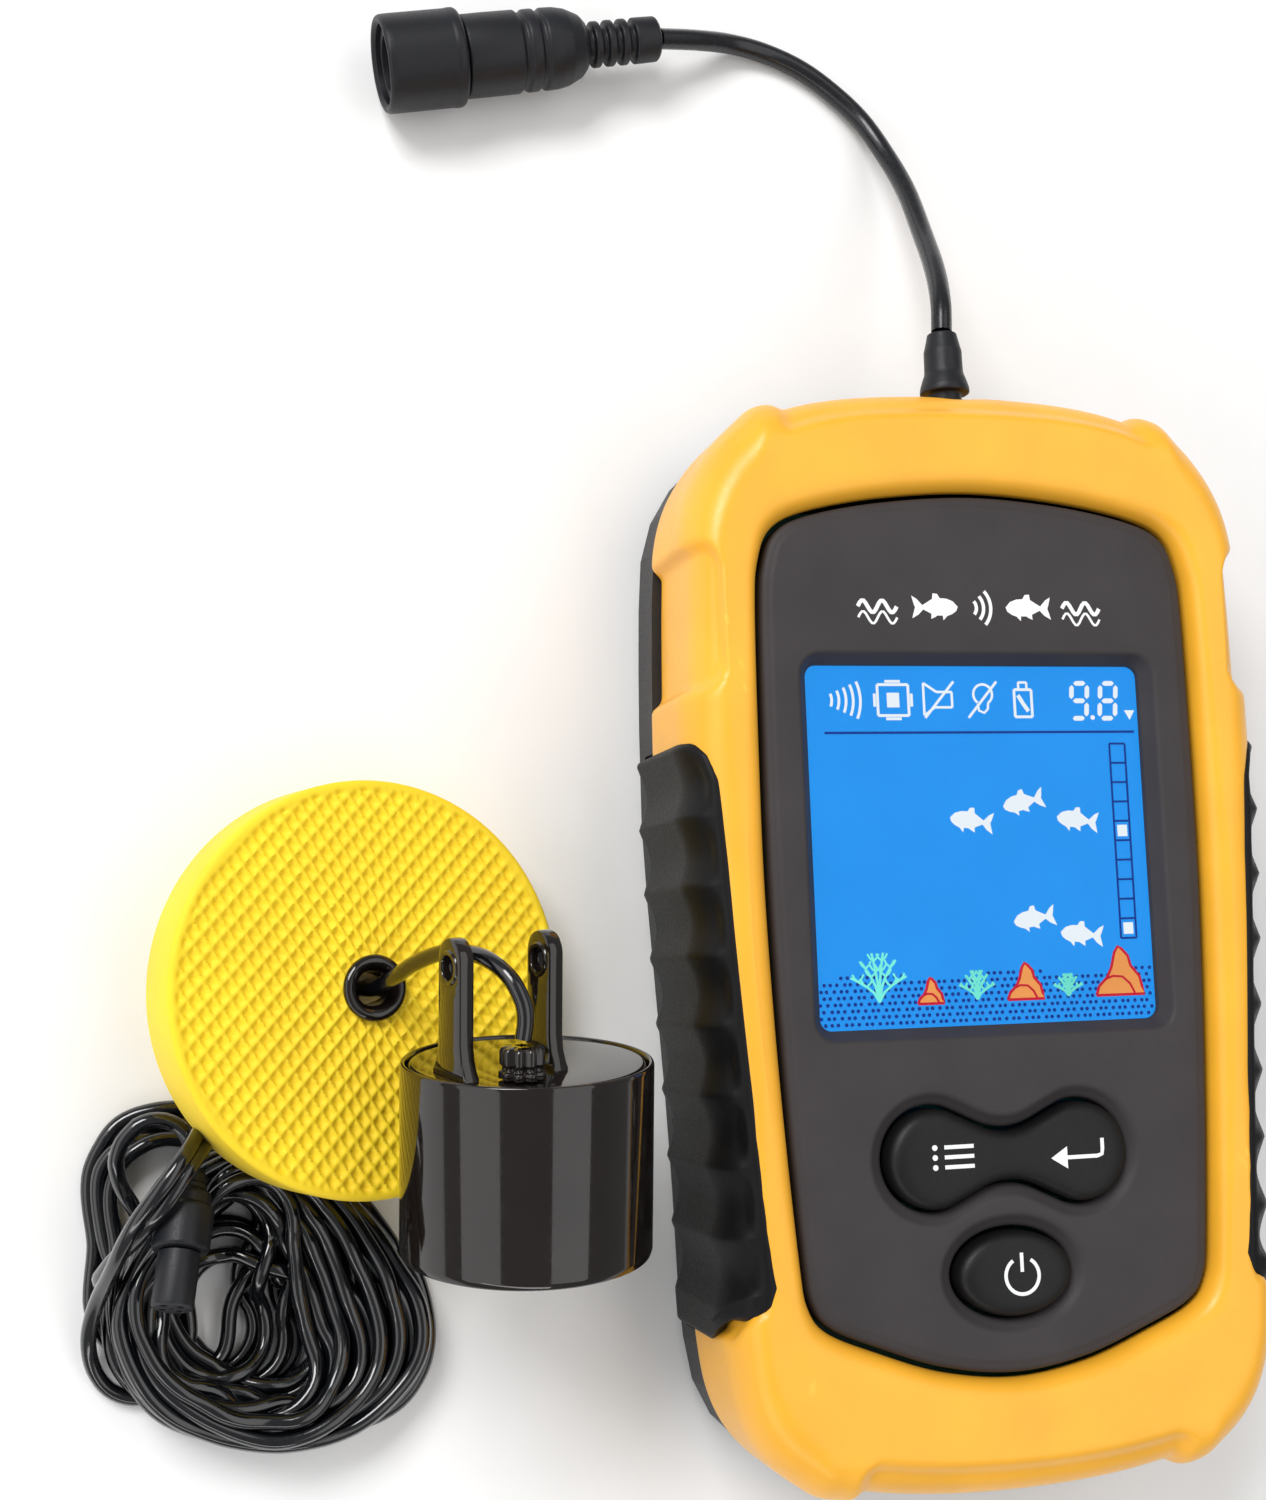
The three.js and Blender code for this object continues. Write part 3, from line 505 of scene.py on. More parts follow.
# Outlines of the lead's turns, anticlockwise from under the float: one with ears at the upper
# left, and the narrowest and widest of the turns that fan out to the right.
EARED = [
    (-86, -24.4), (-90, -22.6), (-93.5, -20.3), (-98.1, -19.6), (-102.4, -20.3), (-105.4, -24.9),
    (-105.3, -29), (-103.4, -33.8), (-101.9, -38.5), (-101.4, -44), (-100.1, -49), (-96.4, -52.7),
    (-90.4, -55.2), (-83.4, -56.6), (-75.7, -56), (-69.4, -53.4), (-66.3, -49.6), (-67, -45),
    (-70.8, -38.6), (-76.4, -32), (-82, -27.4),
]
NARROW = [
    (-88, -25.4), (-92, -27.6), (-95.6, -31.4), (-98, -35.6), (-99.6, -39.9), (-100.2, -43.8),
    (-99.6, -47.7), (-96.8, -51.1), (-92.4, -53.2), (-87.7, -55), (-83.9, -56), (-80.9, -54.6),
    (-79.5, -51), (-80.1, -44.1), (-82.3, -37.6), (-85, -31.2),
]
WIDE = [
    (-86.6, -24.6), (-91.4, -26.8), (-95.6, -30.5), (-98.7, -34.9), (-100.6, -39.3),
    (-101.2, -43.8), (-100.6, -48.4), (-97, -51.8), (-91, -54.6), (-83.6, -56.8), (-74.8, -56),
    (-68.2, -53.2), (-65.6, -49.2), (-66.5, -44.7), (-69.7, -38.6), (-75, -31.6), (-81, -26.8),
]
# Smaller turns that cross the middle of the bundle.
CROSSING = [
    (-85, -26), (-91, -28.5), (-96, -33.5), (-98, -39), (-96.4, -44.5), (-92.5, -49),
    (-86.5, -51.6), (-80.5, -51), (-78, -46), (-79, -39.5), (-81.5, -32),
]
LOOPING = [
    (-86, -26), (-92, -29), (-97, -34), (-99.8, -40), (-100, -46), (-97, -51),
    (-91.8, -50.6), (-90, -45), (-88.6, -38.5), (-84.6, -31.5),
]
CORE, CORE_RADIUS = (-93.6, -45.8), 4.4
LAYER_RISE = 1.72
# A turn wanders off its outline by about WANDER, and blends into the next one from CHANGEOVER on.
SEED, WANDER, CHANGEOVER = 4, 0.22, 0.72
# Each layer's turns from the table up: an outline, or how far out in the fan, and then how far
# out from the core.
LAYERS = [
    [(EARED, 1), (1.0, 1), (0.6, 1), (0.2, 1), (0.0, 0.62), (CROSSING, 1), (0.0, 0.2)],
    [(LOOPING, 1), (0.0, 1), (0.0, 0.55), (0.4, 1), (0.8, 1), (EARED, 0.97)],
    [(EARED, 0.93), (1.0, 0.98), (0.6, 1), (0.2, 1), (CROSSING, 1.02)],
    [(0.0, 0.3), (0.1, 0.9), (0.5, 1), (EARED, 0.9)],
    [(0.9, 1), (0.5, 1), (0.1, 0.95)],
    [(0.0, 0.96), (0.2, 1), (0.4, 1), (0.6, 1), (0.8, 1), (1.0, 0.98)],
]
TURN_POINTS = 40
# Two wraps over the plug's rear, the stray loop at the left, and the way back to the plug.
WRAP = [
    (-84, -24.6, 9.2), (-87.5, -21.8, 10.6), (-92.6, -22.1, 16.6), (-95.2, -25.2, 18.1),
    (-98.2, -29.2, 17.6), (-101.2, -33.2, 14.2), (-103.6, -36.4, 9.5), (-104.6, -38.6, 4.5),
    (-103, -40.6, 1.6), (-98.5, -38.8, 1), (-92, -32, 1), (-87.6, -26.4, 2),
    (-86.6, -22.6, 5.5), (-88.2, -20.8, 10.6), (-91.4, -20.2, 15.2), (-94.2, -22.9, 18.3),
    (-97, -26.7, 18.5), (-100.2, -31.2, 16.2), (-102.8, -35.6, 11.8), (-104.8, -40.2, 7),
    (-106, -45, 3.6), (-105, -49.6, 1.8), (-101.8, -52.4, 1.1), (-97, -51.6, 1),
    (-94.5, -46, 1.2), (-96, -38, 2.2), (-99.6, -31.6, 4.6), (-102.2, -27.2, 8),
]
JOIN_SKIP = 4
# How strongly a point keeps its place: every turn a little sideways, the wraps and crossings more.
SIDE_MEMORY, HOLD_MEMORY, CROSS_HOLD = 0.012, 0.11, 0.6
ROPE_STEP, CORD_STEP = 1.7, 0.8
SETTLE_STEPS = 150
# Points that many steps apart stay at least this far apart, as the cord resists sharp bends.
STIFF_SPANS = ((2, 3.3), (3, 4.85), (4, 6.25))
# Sharp bends are opened in that many passes, up to that radius, measured over that many points
# each way. The last points, on the tail, keep their place.
EASE_STEPS, EASY_RADIUS, EASE_REACH, TAIL_KEPT = 140, 5.0, 3, 14
# What one settling step does: the fall, and the shares of each correction that it makes.
FALL, SHOVE, SMOOTH, PULL, SPREAD = 0.03, 0.6, 0.16, 0.3, 0.22
CLEARANCE = 0.15
# Touching points are looked for again every few steps, with a margin, and never among neighbours.
BATCH, NEIGHBOURS, PAIR_STEPS, PAIR_MARGIN = 300, 3, 5, 1.0
PLUG_NOSE_LENGTH, PLUG_NOSE_R, PLUG_REAR_R = 6.2, 2.4, 3.3
# Half the width of the tilted float, from above, and its underside's clearance.
FLOAT_REACH, FLOAT_CLEARANCE = 23.55, 0.45


def around(outline):
    """The same number of points on every turn."""
    whole = spline(outline, 0.5, closed=True)
    return whole[(np.arange(TURN_POINTS) * len(whole)) // TURN_POINTS]


def wound_turns():
    """The turns before they settle, as points on one long line, each with how well it holds."""
    random = np.random.default_rng(SEED)
    angle = np.arange(TURN_POINTS) / TURN_POINTS * TAU
    tracks = []
    for layer, turns in enumerate(LAYERS):
        for outline, share in turns:
            if isinstance(outline, float):
                outer = (1 - outline) * around(NARROW) + outline * around(WIDE)
            else:
                outer = around(outline)
            way = outer - CORE
            core = CORE + CORE_RADIUS * way / np.linalg.norm(way, axis=1)[:, None]
            track = core + (outer - core) * share
            for waves in (1, 2, 3):
                drift = random.normal(0, WANDER, 2)
                track = track + drift * np.cos(waves * angle + random.uniform(0, TAU))[:, None]
            tracks.append((track, layer, CROSS_HOLD if outline in (CROSSING, LOOPING) else 0))
    rows = []
    for k, (track, layer, hold) in enumerate(tracks):
        following, above, _ = tracks[min(k + 1, len(tracks) - 1)]
        w = smoothstep(np.linspace(0, 1, TURN_POINTS, endpoint=False), CHANGEOVER, 1)[:, None]
        rise = LEAD_D / 2 + LAYER_RISE * (layer + (above - layer) * w)
        rows.append(np.hstack([track * (1 - w) + following * w, rise, hold * (1 - w)]))
    return np.vstack(rows)[JOIN_SKIP:]


def settle(line, fixed, memory):
    """Lets the rope sink under its weight while its turns, the table, the float, the transducer
    and the plug push it out of themselves. memory is how strongly each point keeps its place."""
    p, start, free = line.copy(), line.copy(), ~fixed
    pitch = np.linalg.norm(np.diff(p, axis=0), axis=1)
    heading, dip = rad(PLUG_HEADING), rad(PLUG_DIP)
    plug_way = np.array([math.cos(heading) * math.cos(dip), math.sin(heading) * math.cos(dip),
                         -math.sin(dip)])
    cap_way = np.array([0, math.cos(rad(SONAR_RAISE)), math.sin(rad(SONAR_RAISE))])

    def plug_radius(along):
        return np.where(along < PLUG_NOSE_LENGTH, PLUG_NOSE_R, PLUG_REAR_R)

    def push_out(origin, way, radius, low, high):
        along = (p - origin) @ way
        off = p - origin - np.clip(along, low, high)[:, None] * way
        far = np.linalg.norm(off, axis=1) + 1e-9
        wanted = (radius(along) if callable(radius) else radius) + LEAD_D / 2 + CLEARANCE
        hit = (far < wanted) & (along > low - 2) & (along < high + 2) & free
        p[hit] += (off / far[:, None] * (wanted - far)[:, None])[hit]

    for step in range(SETTLE_STEPS):
        p[free, 2] -= FALL
        if step % PAIR_STEPS == 0:
            pairs = []
            for a in range(0, len(p), BATCH):
                apart = ((p[a:a + BATCH, None] - p[None]) ** 2).sum(2)
                i, j = np.nonzero(apart < (LEAD_D + PAIR_MARGIN) ** 2)
                keep = j - (i + a) > NEIGHBOURS
                pairs.append(np.stack([i[keep] + a, j[keep]]))
            first, second = np.hstack(pairs)
        gap = p[first] - p[second]
        far = np.linalg.norm(gap, axis=1) + 1e-9
        near = far < LEAD_D
        shove = gap[near] / far[near, None] * ((LEAD_D - far[near]) / 2)[:, None]
        move, hits = np.zeros_like(p), np.zeros(len(p))
        for ends, sign in ((first[near], 1), (second[near], -1)):
            np.add.at(move, ends, sign * shove)
            np.add.at(hits, ends, 1)
        move /= np.sqrt(np.maximum(1, hits))[:, None]
        p[free] += SHOVE * move[free]
        p[free] += (memory * (start - p))[free]
        middle = (p[:-2] + p[2:]) / 2 - p[1:-1]
        p[1:-1][free[1:-1]] += SMOOTH * middle[free[1:-1]]
        for _ in range(2):
            link = np.diff(p, axis=0)
            far = np.linalg.norm(link, axis=1) + 1e-9
            pull = ((far - pitch) / far * PULL)[:, None] * link
            change = np.zeros_like(p)
            change[:-1] += pull
            change[1:] -= pull
            for reach, least in STIFF_SPANS:
                span = p[reach:] - p[:-reach]
                far = np.linalg.norm(span, axis=1) + 1e-9
                spread = (np.maximum(0, least - far) / far * SPREAD)[:, None] * span
                change[reach:] += spread
                change[:-reach] -= spread
            p[free] += change[free]
        push_out(PLUG_TIP, plug_way, plug_radius, -1, 15)
        push_out(SONAR_CAP, -cap_way, SONAR_R, 0, SONAR_H)
        from_float = (p[:, :2] - FLOAT_AT[:2]) / (FLOAT_REACH, FLOAT_R)
        over = from_float[:, 0] ** 2 + from_float[:, 1] ** 2 < 1
        slope = (FLOAT_AT[0] - p[:, 0]) * math.tan(rad(FLOAT_TILT))
        face = FLOAT_AT[2] + slope - LEAD_D / 2 - FLOAT_CLEARANCE
        under = over & (p[:, 2] > face) & (p[:, 2] < face + 12) & free
        p[under, 2] = face[under]
        p[:, 2] = np.maximum(p[:, 2], LEAD_D / 2 + 0.02)
    return p


def eased(line):
    """Opens the sharpest bends that are left."""
    p = line.copy()
    for _ in range(EASE_STEPS):
        a, b, c = p[:-2 * EASE_REACH], p[EASE_REACH:-EASE_REACH], p[2 * EASE_REACH:]
        sides = [np.linalg.norm(u - v, axis=1) for u, v in ((a, b), (b, c), (c, a))]
        area = np.linalg.norm(np.cross(b - a, c - a), axis=1) / 2
        radius = sides[0] * sides[1] * sides[2] / (4 * area + 1e-9)
        share = np.zeros(len(p))
        share[EASE_REACH:-EASE_REACH] = np.clip((EASY_RADIUS - radius) / 2, 0, 1)
        share[1:-1] = np.maximum.reduce([share[:-2], share[1:-1], share[2:]])
        share[0] = 0
        share[-TAIL_KEPT:] = 0
        middle = (np.roll(p, 1, 0) + np.roll(p, -1, 0)) / 2 - p
        p += 0.5 * share[:, None] * middle
    return p


def held(points, hold):
    """Points, each with how well it holds its place."""
    return np.hstack([np.array(points, float), np.full((len(points), 1), float(hold))])


lead_way = spline(np.vstack([held(LEAD_ROUTE, 0), wound_turns(), held(WRAP, 1),
                             held(TAIL_ROUTE, 1)]), ROPE_STEP)
lead_line, holds = lead_way[:, :3], lead_way[:, 3:]
fixed = np.zeros(len(lead_line), bool)
FIRST_STRETCH = 200
enters = np.argmin(np.linalg.norm(lead_line[:FIRST_STRETCH] - LEAD_ROUTE[-1], axis=1))
leaves = np.argmin(np.linalg.norm(lead_line - TAIL_ROUTE[0], axis=1))
fixed[:enters - 1] = True
fixed[leaves + 1:] = True
memory = SIDE_MEMORY * np.array([1, 1, 0]) + HOLD_MEMORY * holds
settled = spline(settle(lead_line, fixed, memory), CORD_STEP)
lead = cable("sonar_cord", spline(eased(settled), CORD_STEP), LEAD_D, M["cord"], "sonar_set",
             ["sonar_lead", "lead_hank", "lead_tail"])

pigtail_line = spline(PIGTAIL_ROUTE, CORD_STEP)
pigtail = cable("pigtail_cord", pigtail_line, PIGTAIL_D, M["pigtail"], "handheld", ["pigtail_cable"])

# ---------------------------------------------------------------- bumper and grips

CASE_STEP, PANEL_STEP = 0.75, 0.9
case_line = spline(mirrored(CASE_HALF), CASE_STEP, closed=True)
panel_line = spline(mirrored(PANEL_HALF), PANEL_STEP, closed=True)
panel_gap_line = panel_line + PANEL_GAP * outwards(panel_line)
GRIP_Y = (-48, 22.3)
GRIP_EDGE = [
    (-48, 33), (-47.2, 31.4), (-45.6, 30), (-42, 29.5), (-17, 31.5), (12, 33.5), (17.3, 33.8),
    (20.3, 34.8), (21.8, 36.1), (22.3, 37.2),
]
SCOOPS, SCOOP_PITCH, FIRST_SCOOP_Y = 8, 8.1, 17.2
SCOOPS_MIDDLE_Y = FIRST_SCOOP_Y - SCOOP_PITCH * (SCOOPS - 1) / 2


def grip_edge(y):
    ys, xs = zip(*GRIP_EDGE)
    return np.interp(y, ys, xs)


def slant(across, most=3.2):
    """How far up the grip's foot end is slanted, by the way out from the grip's inner edge."""
    return most * (1 - smoothstep(across, 2, 10))


def rounded_field(u, q, half, reach, corner):
    """Distance inside a region |u| < half, q < reach with rounded inner corners."""
    du, dq = np.abs(u) - (half - corner), q - (reach - corner)
    outside = np.hypot(np.maximum(du, 0), np.maximum(dq, 0))
    return corner - outside - np.minimum(np.maximum(du, dq), 0)


# A dish in the bumper: depth, slope, then its middle, half length, reach in and corner radius.
SIDE_DISH = (1.35, 0.8, 36.9, 8.9, 6.0, 4.2)
HEAD_DISH = (1.25, 1.7, 0.0, 24.8, 5.2, 1.6)
FOOT_DISH = (1.4, 1.5, 0.7, 21.3, 6.0, 3.2)
GRIP_RECESS, NOTCH_DEPTH = 1.2, 0.9


def dish(along, q, depth, slope, middle, half, reach, corner):
    return depth * smoothstep(rounded_field(along - middle, q, half, reach, corner), 0, slope)


def bumper_depth(x, y, z, q):
    """How far the bumper's skin is pressed in; q is the distance in from the outer edge."""
    wide = np.abs(x)
    side = dish(y, q, *SIDE_DISH) * (wide > 20)
    head = dish(x, q, *HEAD_DISH) * (y > 50)
    foot = dish(x, q, *FOOT_DISH) * (y < -50)
    pads = 0.5 * np.exp(-((wide - 26.6) / 1.5) ** 2) * smoothstep(q, 7, 3) * (y > 50)
    pads += 0.35 * np.exp(-((wide - 24.2) / 1.6) ** 2) * smoothstep(q, 6, 3) * (y < -50)
    grip_foot = GRIP_Y[0] + slant(wide - GRIP_EDGE[3][1] + TOP_Z - z)
    from_grip = np.minimum(np.minimum(GRIP_Y[1] - y, y - grip_foot), wide - grip_edge(y))
    under_grip = GRIP_RECESS * smoothstep(from_grip, 0.9, 1.7) * (wide > 20)
    notch = NOTCH_DEPTH * smoothstep(np.hypot(x, z - BOOT_Z), 4.6, 3.7) * (y > 50)
    return side + head + foot - pads + under_grip + notch


TOP_STEPS, SHOULDER_STEPS, WALL_STEPS, WALL_STEP = 6, 11, 10, 1.1


def bumper():
    """The bumper's skin: from the panel's edge over its lip, top, shoulder and wall, and back."""
    out = outwards(case_line)
    angles = np.arctan2(panel_gap_line[:, 1], panel_gap_line[:, 0])
    order = np.argsort(angles)
    radii = np.hypot(*panel_gap_line.T)
    way = np.arctan2(case_line[:, 1], case_line[:, 0])
    radius = np.interp(way, angles[order], radii[order], period=TAU)
    inner = np.stack([radius * np.cos(way), radius * np.sin(way)], 1)
    span = case_line - inner
    width = np.linalg.norm(span, axis=1)
    span /= width[:, None]
    lip = [(0, 24.2), (0, 26.4), (0.1, 27.4), (0.4, 28.3), (0.95, 29.0), (1.7, 29.4), (2.5, 29.56)]
    lip_width = lip[-1][0]
    rows = []
    for i in range(len(case_line)):
        flat = max(width[i] - SHOULDER_INSET, lip_width + 0.4)
        steps = [(a, z, 0.0) for a, z in lip]
        for k in range(1, TOP_STEPS + 1):
            steps.append((lip_width + (flat - lip_width) * k / TOP_STEPS, TOP_Z, 0.0))
        for k in range(1, SHOULDER_STEPS + 1):
            f = k / SHOULDER_STEPS * math.pi / 2
            steps.append((flat + (width[i] - flat) * math.sin(f),
                          SHOULDER_Z + SHOULDER_HEIGHT * math.cos(f), math.sin(f)))
        steps += [(width[i], SHOULDER_Z - k * WALL_STEP, 1.0) for k in range(1, WALL_STEPS + 1)]
        steps += [(width[i] - 0.15, PARTING_Z + 0.45, 1.0), (width[i] - 0.6, FOOT_Z, 1.0)]
        rows.append(steps)
    a, z, lean = np.moveaxis(np.array(rows), 2, 0)
    xy = inner[:, None] + a[:, :, None] * span[:, None]
    q = np.where(z < SHOULDER_Z, z - SHOULDER_Z, width[:, None] - a)
    depth = bumper_depth(xy[..., 0], xy[..., 1], z, q)
    depth *= smoothstep(a, 1.5, 3)
    plan = out[:, None] * lean[:, :, None]
    xy = xy - depth[..., None] * plan
    z = z - depth * np.sqrt(1 - lean ** 2)
    points = np.concatenate([xy, z[..., None]], 2)
    back = [(1.6, FOOT_Z), (4.2, FOOT_Z), (4.2, 24.2)]
    behind = np.array([[(*(at - off * way), height) for off, height in back]
                       for at, way in zip(case_line, out)])
    points = np.concatenate([points, behind], 1)
    return points.reshape(-1, 3), grid_faces(*points.shape[:2], True, True)


modify(piece("bumper_skin", *bumper(), M["yellow"], sharp=60, slot="bumper",
             stands_for=["yellow_bumper"]), "SUBSURF", levels=1, render_levels=1)


GRIP_ROWS, GRIP_COLUMNS, GRIP_FOOT_Z = 210, 44, 6
GRIP_SUNK, GRIP_RISE, GRIP_ROUND = 0.9, 1.35, 1.1
SCOOP_DEPTH, SCOOP_CREST, SCOOP_RISE = 0.7, 0.2, 0.3


def grip_skin(side):
    """A side grip: a pad that wraps the shoulder and wall, rounded at its rim, with its scoops."""
    even = np.linspace(0, 1, GRIP_ROWS)
    ys = GRIP_Y[0] + (GRIP_Y[1] - GRIP_Y[0]) * (0.62 * even + 0.19 * (1 - np.cos(math.pi * even)))
    right = case_line[case_line[:, 0] > 5]
    right = right[np.argsort(right[:, 1])]
    points = []
    for y in ys:
        edge = np.interp(y, right[:, 1], right[:, 0])
        start = grip_edge(y)
        round_from = np.clip((start - edge + SHOULDER_INSET) / SHOULDER_INSET, 0, 1)
        bend = np.linspace(math.asin(round_from), math.pi / 2, 30)
        section = [(edge - SHOULDER_INSET + SHOULDER_INSET * math.sin(f),
                    SHOULDER_Z + SHOULDER_HEIGHT * math.cos(f), math.sin(f)) for f in bend]
        if start < edge - SHOULDER_INSET:
            section.insert(0, (start, TOP_Z, 0.0))
        section += [(edge, z, 1.0) for z in np.linspace(SHOULDER_Z - 1, GRIP_FOOT_Z, 16)]
        section = np.array(section)
        along = np.r_[0, np.cumsum(np.hypot(*np.diff(section[:, :2], axis=0).T))]
        at = np.linspace(0, 1, GRIP_COLUMNS) ** 1.15 * along[-1]
        x, z, lean = (np.interp(at, along, section[:, k]) for k in range(3))
        rim = np.minimum(at, min(y - GRIP_Y[0], GRIP_Y[1] - y) + 0.02)
        edge_round = np.sqrt(1 - (1 - np.clip(rim / GRIP_ROUND, 0, 1)) ** 2)
        height = -GRIP_SUNK + GRIP_RISE * edge_round
        u = ((y - FIRST_SCOOP_Y) / SCOOP_PITCH + 0.5) % 1 - 0.5
        scoop = SCOOP_DEPTH * (1 - (2 * u) ** 2) + SCOOP_CREST * (1 + math.cos(TAU * u))
        scoop *= abs(y - SCOOPS_MIDDLE_Y) < SCOOPS * SCOOP_PITCH / 2
        q = np.where(z < SHOULDER_Z, z - SHOULDER_Z, edge - x)
        ledge = smoothstep(q, 3.6, 2.3) * smoothstep(at, 1.2, 2.6)
        height = height + ledge * (SCOOP_RISE - scoop) * np.minimum(1, edge_round)
        lift = slant(at) * smoothstep(y, GRIP_Y[0] + 10, GRIP_Y[0])
        x, z = x + height * lean, z + height * np.sqrt(1 - lean ** 2)
        points += [(side * xx, y + up, zz) for xx, up, zz in zip(x, lift, z)]
    return points, grid_faces(GRIP_ROWS, GRIP_COLUMNS)


for side, name in ((1, "right"), (-1, "left")):
    pad = piece(f"grip_pad_{name}", *grip_skin(side), M["grip"], sharp=40, slot="grip",
                stands_for=[f"grip_{name}"])
    modify(pad, "SOLIDIFY", thickness=1.3 * MM, offset=-1.0)

# ---------------------------------------------------------------- case screws

SCREWS = [(-28, 50), (28, 50), (-27.6, -42), (27.6, -42)]
SCREW_HEAD_Z, SCREW_R, SHANK_R, SCREW_LENGTH = 0.9, 2.0, 1.05, 14.1
screw_rim = [(SCREW_R - 0.05, -SCREW_LENGTH), (SCREW_R - SHANK_R, -SCREW_LENGTH + 0.6),
             (SCREW_R - SHANK_R, -2.1), (0.05, -1.9), (0, -0.5), (0.12, -0.2), (0.4, -0.03), (0.8, 0)]
ARM, SLOT, ELBOW = 1.15, 0.26, 0.4
cross = []
way = np.array([(ARM, -SLOT), (ARM, SLOT), (ELBOW, SLOT + 0.06), (SLOT + 0.06, ELBOW)])
for _ in range(4):
    cross += list(way)
    way = np.stack([-way[:, 1], way[:, 0]], 1)
recess = (np.array(cross), [(-0.12, -1.1), (0, -0.1), (0.04, 0)])
for i, (x, y) in enumerate(SCREWS, 1):
    piece(f"screw_skin_{i}", *faced(ellipse(SCREW_R, SCREW_R, count=40), screw_rim, [recess]),
          M["steel"], at=place((x, y, SCREW_HEAD_Z), (180, "X"), (35 * i - 23, "Z")), slot="steel",
          stands_for=[f"case_screw_{i}"])

# ---------------------------------------------------------------- face panel and keys

sight = rounded_box(*SIGHT, 0, WINDOW_Y)
rocker_hole = dumbbell(LOBE + KEY_GAP, WAIST + KEY_GAP)
power_hole = ellipse(POWER_HALF[0] + KEY_GAP, POWER_HALF[1] + KEY_GAP, 0, POWER_Y)
KEY_MOAT = [(0, 25), (0, 26.5), (0.08, 26.85), (0.25, 27.05), (0.55, 27.2), (0.95, 27.45),
            (1.3, 27.75), (1.6, 27.94), (1.9, PANEL_Z)]
panel_rim = [(0, 24.9), (0, 26.9), (0.06, 27.2), (0.2, 27.5), (0.5, 27.72), (0.95, 27.8),
             (1.2, 27.86), (1.4, 27.97), (1.7, PANEL_Z)]
window_rim = [(0, 25.1), (0, 25.9), (0.12, 26.1), (0.4, 26.45), (1.0, 27.45), (1.2, 27.75),
              (1.4, 27.92), (1.7, PANEL_Z)]
piece("panel_skin", *faced(panel_line, panel_rim, [
    (sight, window_rim), (rocker_hole, KEY_MOAT), (power_hole, KEY_MOAT)]),
    M["panel"], sharp=50, slot="front_panel", stands_for=["front_panel"])

key_rim = [(0, 24), (0, 28.0), (0.1, 28.4), (0.35, 28.8), (0.75, 29.05), (1.2, 29.2), (1.7, 29.3),
           (2.3, KEY_Z)]
piece("rocker_cap", *faced(dumbbell(), key_rim), M["key"], body="rocker_key", slot="key", sharp=60,
      stands_for=["rocker_key"])
piece("power_cap", *faced(ellipse(*POWER_HALF, 0, POWER_Y), key_rim), M["key"], body="power_key",
      slot="key", sharp=60, stands_for=["power_key"])

PRINT, SUNK = 0.05, 0.02
POWER_PEN, KEY_PEN = 0.42, 0.46
power_ring = stroke(arc(0.4, POWER_Y - 0.15, 2.1, 122, 418, 40), POWER_PEN)
power_bar = bar((0.4, POWER_Y + 0.3), (0.4, POWER_Y + 2.5), POWER_PEN)
piece("power_print", *prisms([power_ring, power_bar], KEY_Z - SUNK, KEY_Z + PRINT), M["print"],
      body="power_key", sharp=20)
menu = []
for k in (-1, 0, 1):
    y = ROCKER_Y + 0.3 + k * 1.15
    menu.append(bar((-8.6, y), (-4.9, y), KEY_PEN))
    menu.append(arc(-9.8, y, 0.34, 0, 340, 12))
SHAFT_Y = ROCKER_Y - 0.55
hook = [(11.6, ROCKER_Y + 1.5), (11.6, ROCKER_Y + 0.3), (11.5, ROCKER_Y - 0.35), (10.9, SHAFT_Y),
        (9, SHAFT_Y), (7.01, SHAFT_Y)]
barb = [(4.9, SHAFT_Y), (7.0, SHAFT_Y + 1.3), (7.0, SHAFT_Y - 1.3)]
piece("rocker_print", *prisms([*menu, stroke(hook, KEY_PEN), barb], KEY_Z - SUNK, KEY_Z + PRINT),
      M["print"], body="rocker_key", sharp=20)

# ---------------------------------------------------------------- display


def fish(x, y, size=1.0, turn=0.0, flip=1):
    """A plain fish outline, 5.7 mm long at size 1, its head to the left unless it is flipped."""
    body = [(-2.8, 0.1), (-2.2, 0.75), (-1.4, 1.05), (-0.6, 1.1), (-0.3, 1.6), (0.25, 1.65),
            (0.35, 1.0), (1.0, 0.6), (1.6, 0.25), (2.3, 1.0), (2.9, 1.35), (2.65, 0.4), (2.5, 0.0),
            (2.75, -0.8), (2.9, -1.3), (2.1, -0.85), (1.5, -0.25), (0.9, -0.55), (0.5, -0.75),
            (0.55, -1.35), (0.0, -1.1), (-0.2, -0.95), (-0.9, -0.95), (-0.95, -1.5), (-1.45, -1.0),
            (-2.1, -0.75), (-2.6, -0.4)]
    c, s = math.cos(rad(turn)), math.sin(rad(turn))
    return [(x + size * (flip * a * c - b * s), y + size * (flip * a * s + b * c)) for a, b in body]


def polyline(points, pen):
    """A line with sharp bends, as one bar for each part."""
    return [bar(a, b, pen) for a, b in zip(points, points[1:])]


def plant(x, y, width, height):
    """A water plant's strokes: curved stems that fan out, each with a few side leaves."""
    strokes = []
    for lean in (-1, -0.62, -0.22, 0.2, 0.6, 1):
        tall = height * (1 - 0.5 * lean ** 2)
        stem = [(x + width / 2 * lean * t ** 1.4, y + tall * t ** 0.8) for t in (0, 0.3, 0.55, 0.8, 1)]
        strokes.append(stroke(stem, 0.3))
        for k, side in ((2, 1), (2, -1), (3, -1), (3, 1)):
            a, b = stem[k]
            reach = 0.12 * height
            strokes.append(stroke([(a, b), (a + 0.6 * side * reach, b + 0.5 * reach),
                                   (a + side * reach, b + 1.2 * reach)], 0.24))
    return strokes


SEGMENTS = {"a": (0, 2, 1, 2), "b": (1, 1, 1, 2), "c": (1, 0, 1, 1), "d": (0, 0, 1, 0),
            "e": (0, 0, 0, 1), "f": (0, 1, 0, 2), "g": (0, 1, 1, 1)}
NINE, EIGHT = "abcdfg", "abcdefg"


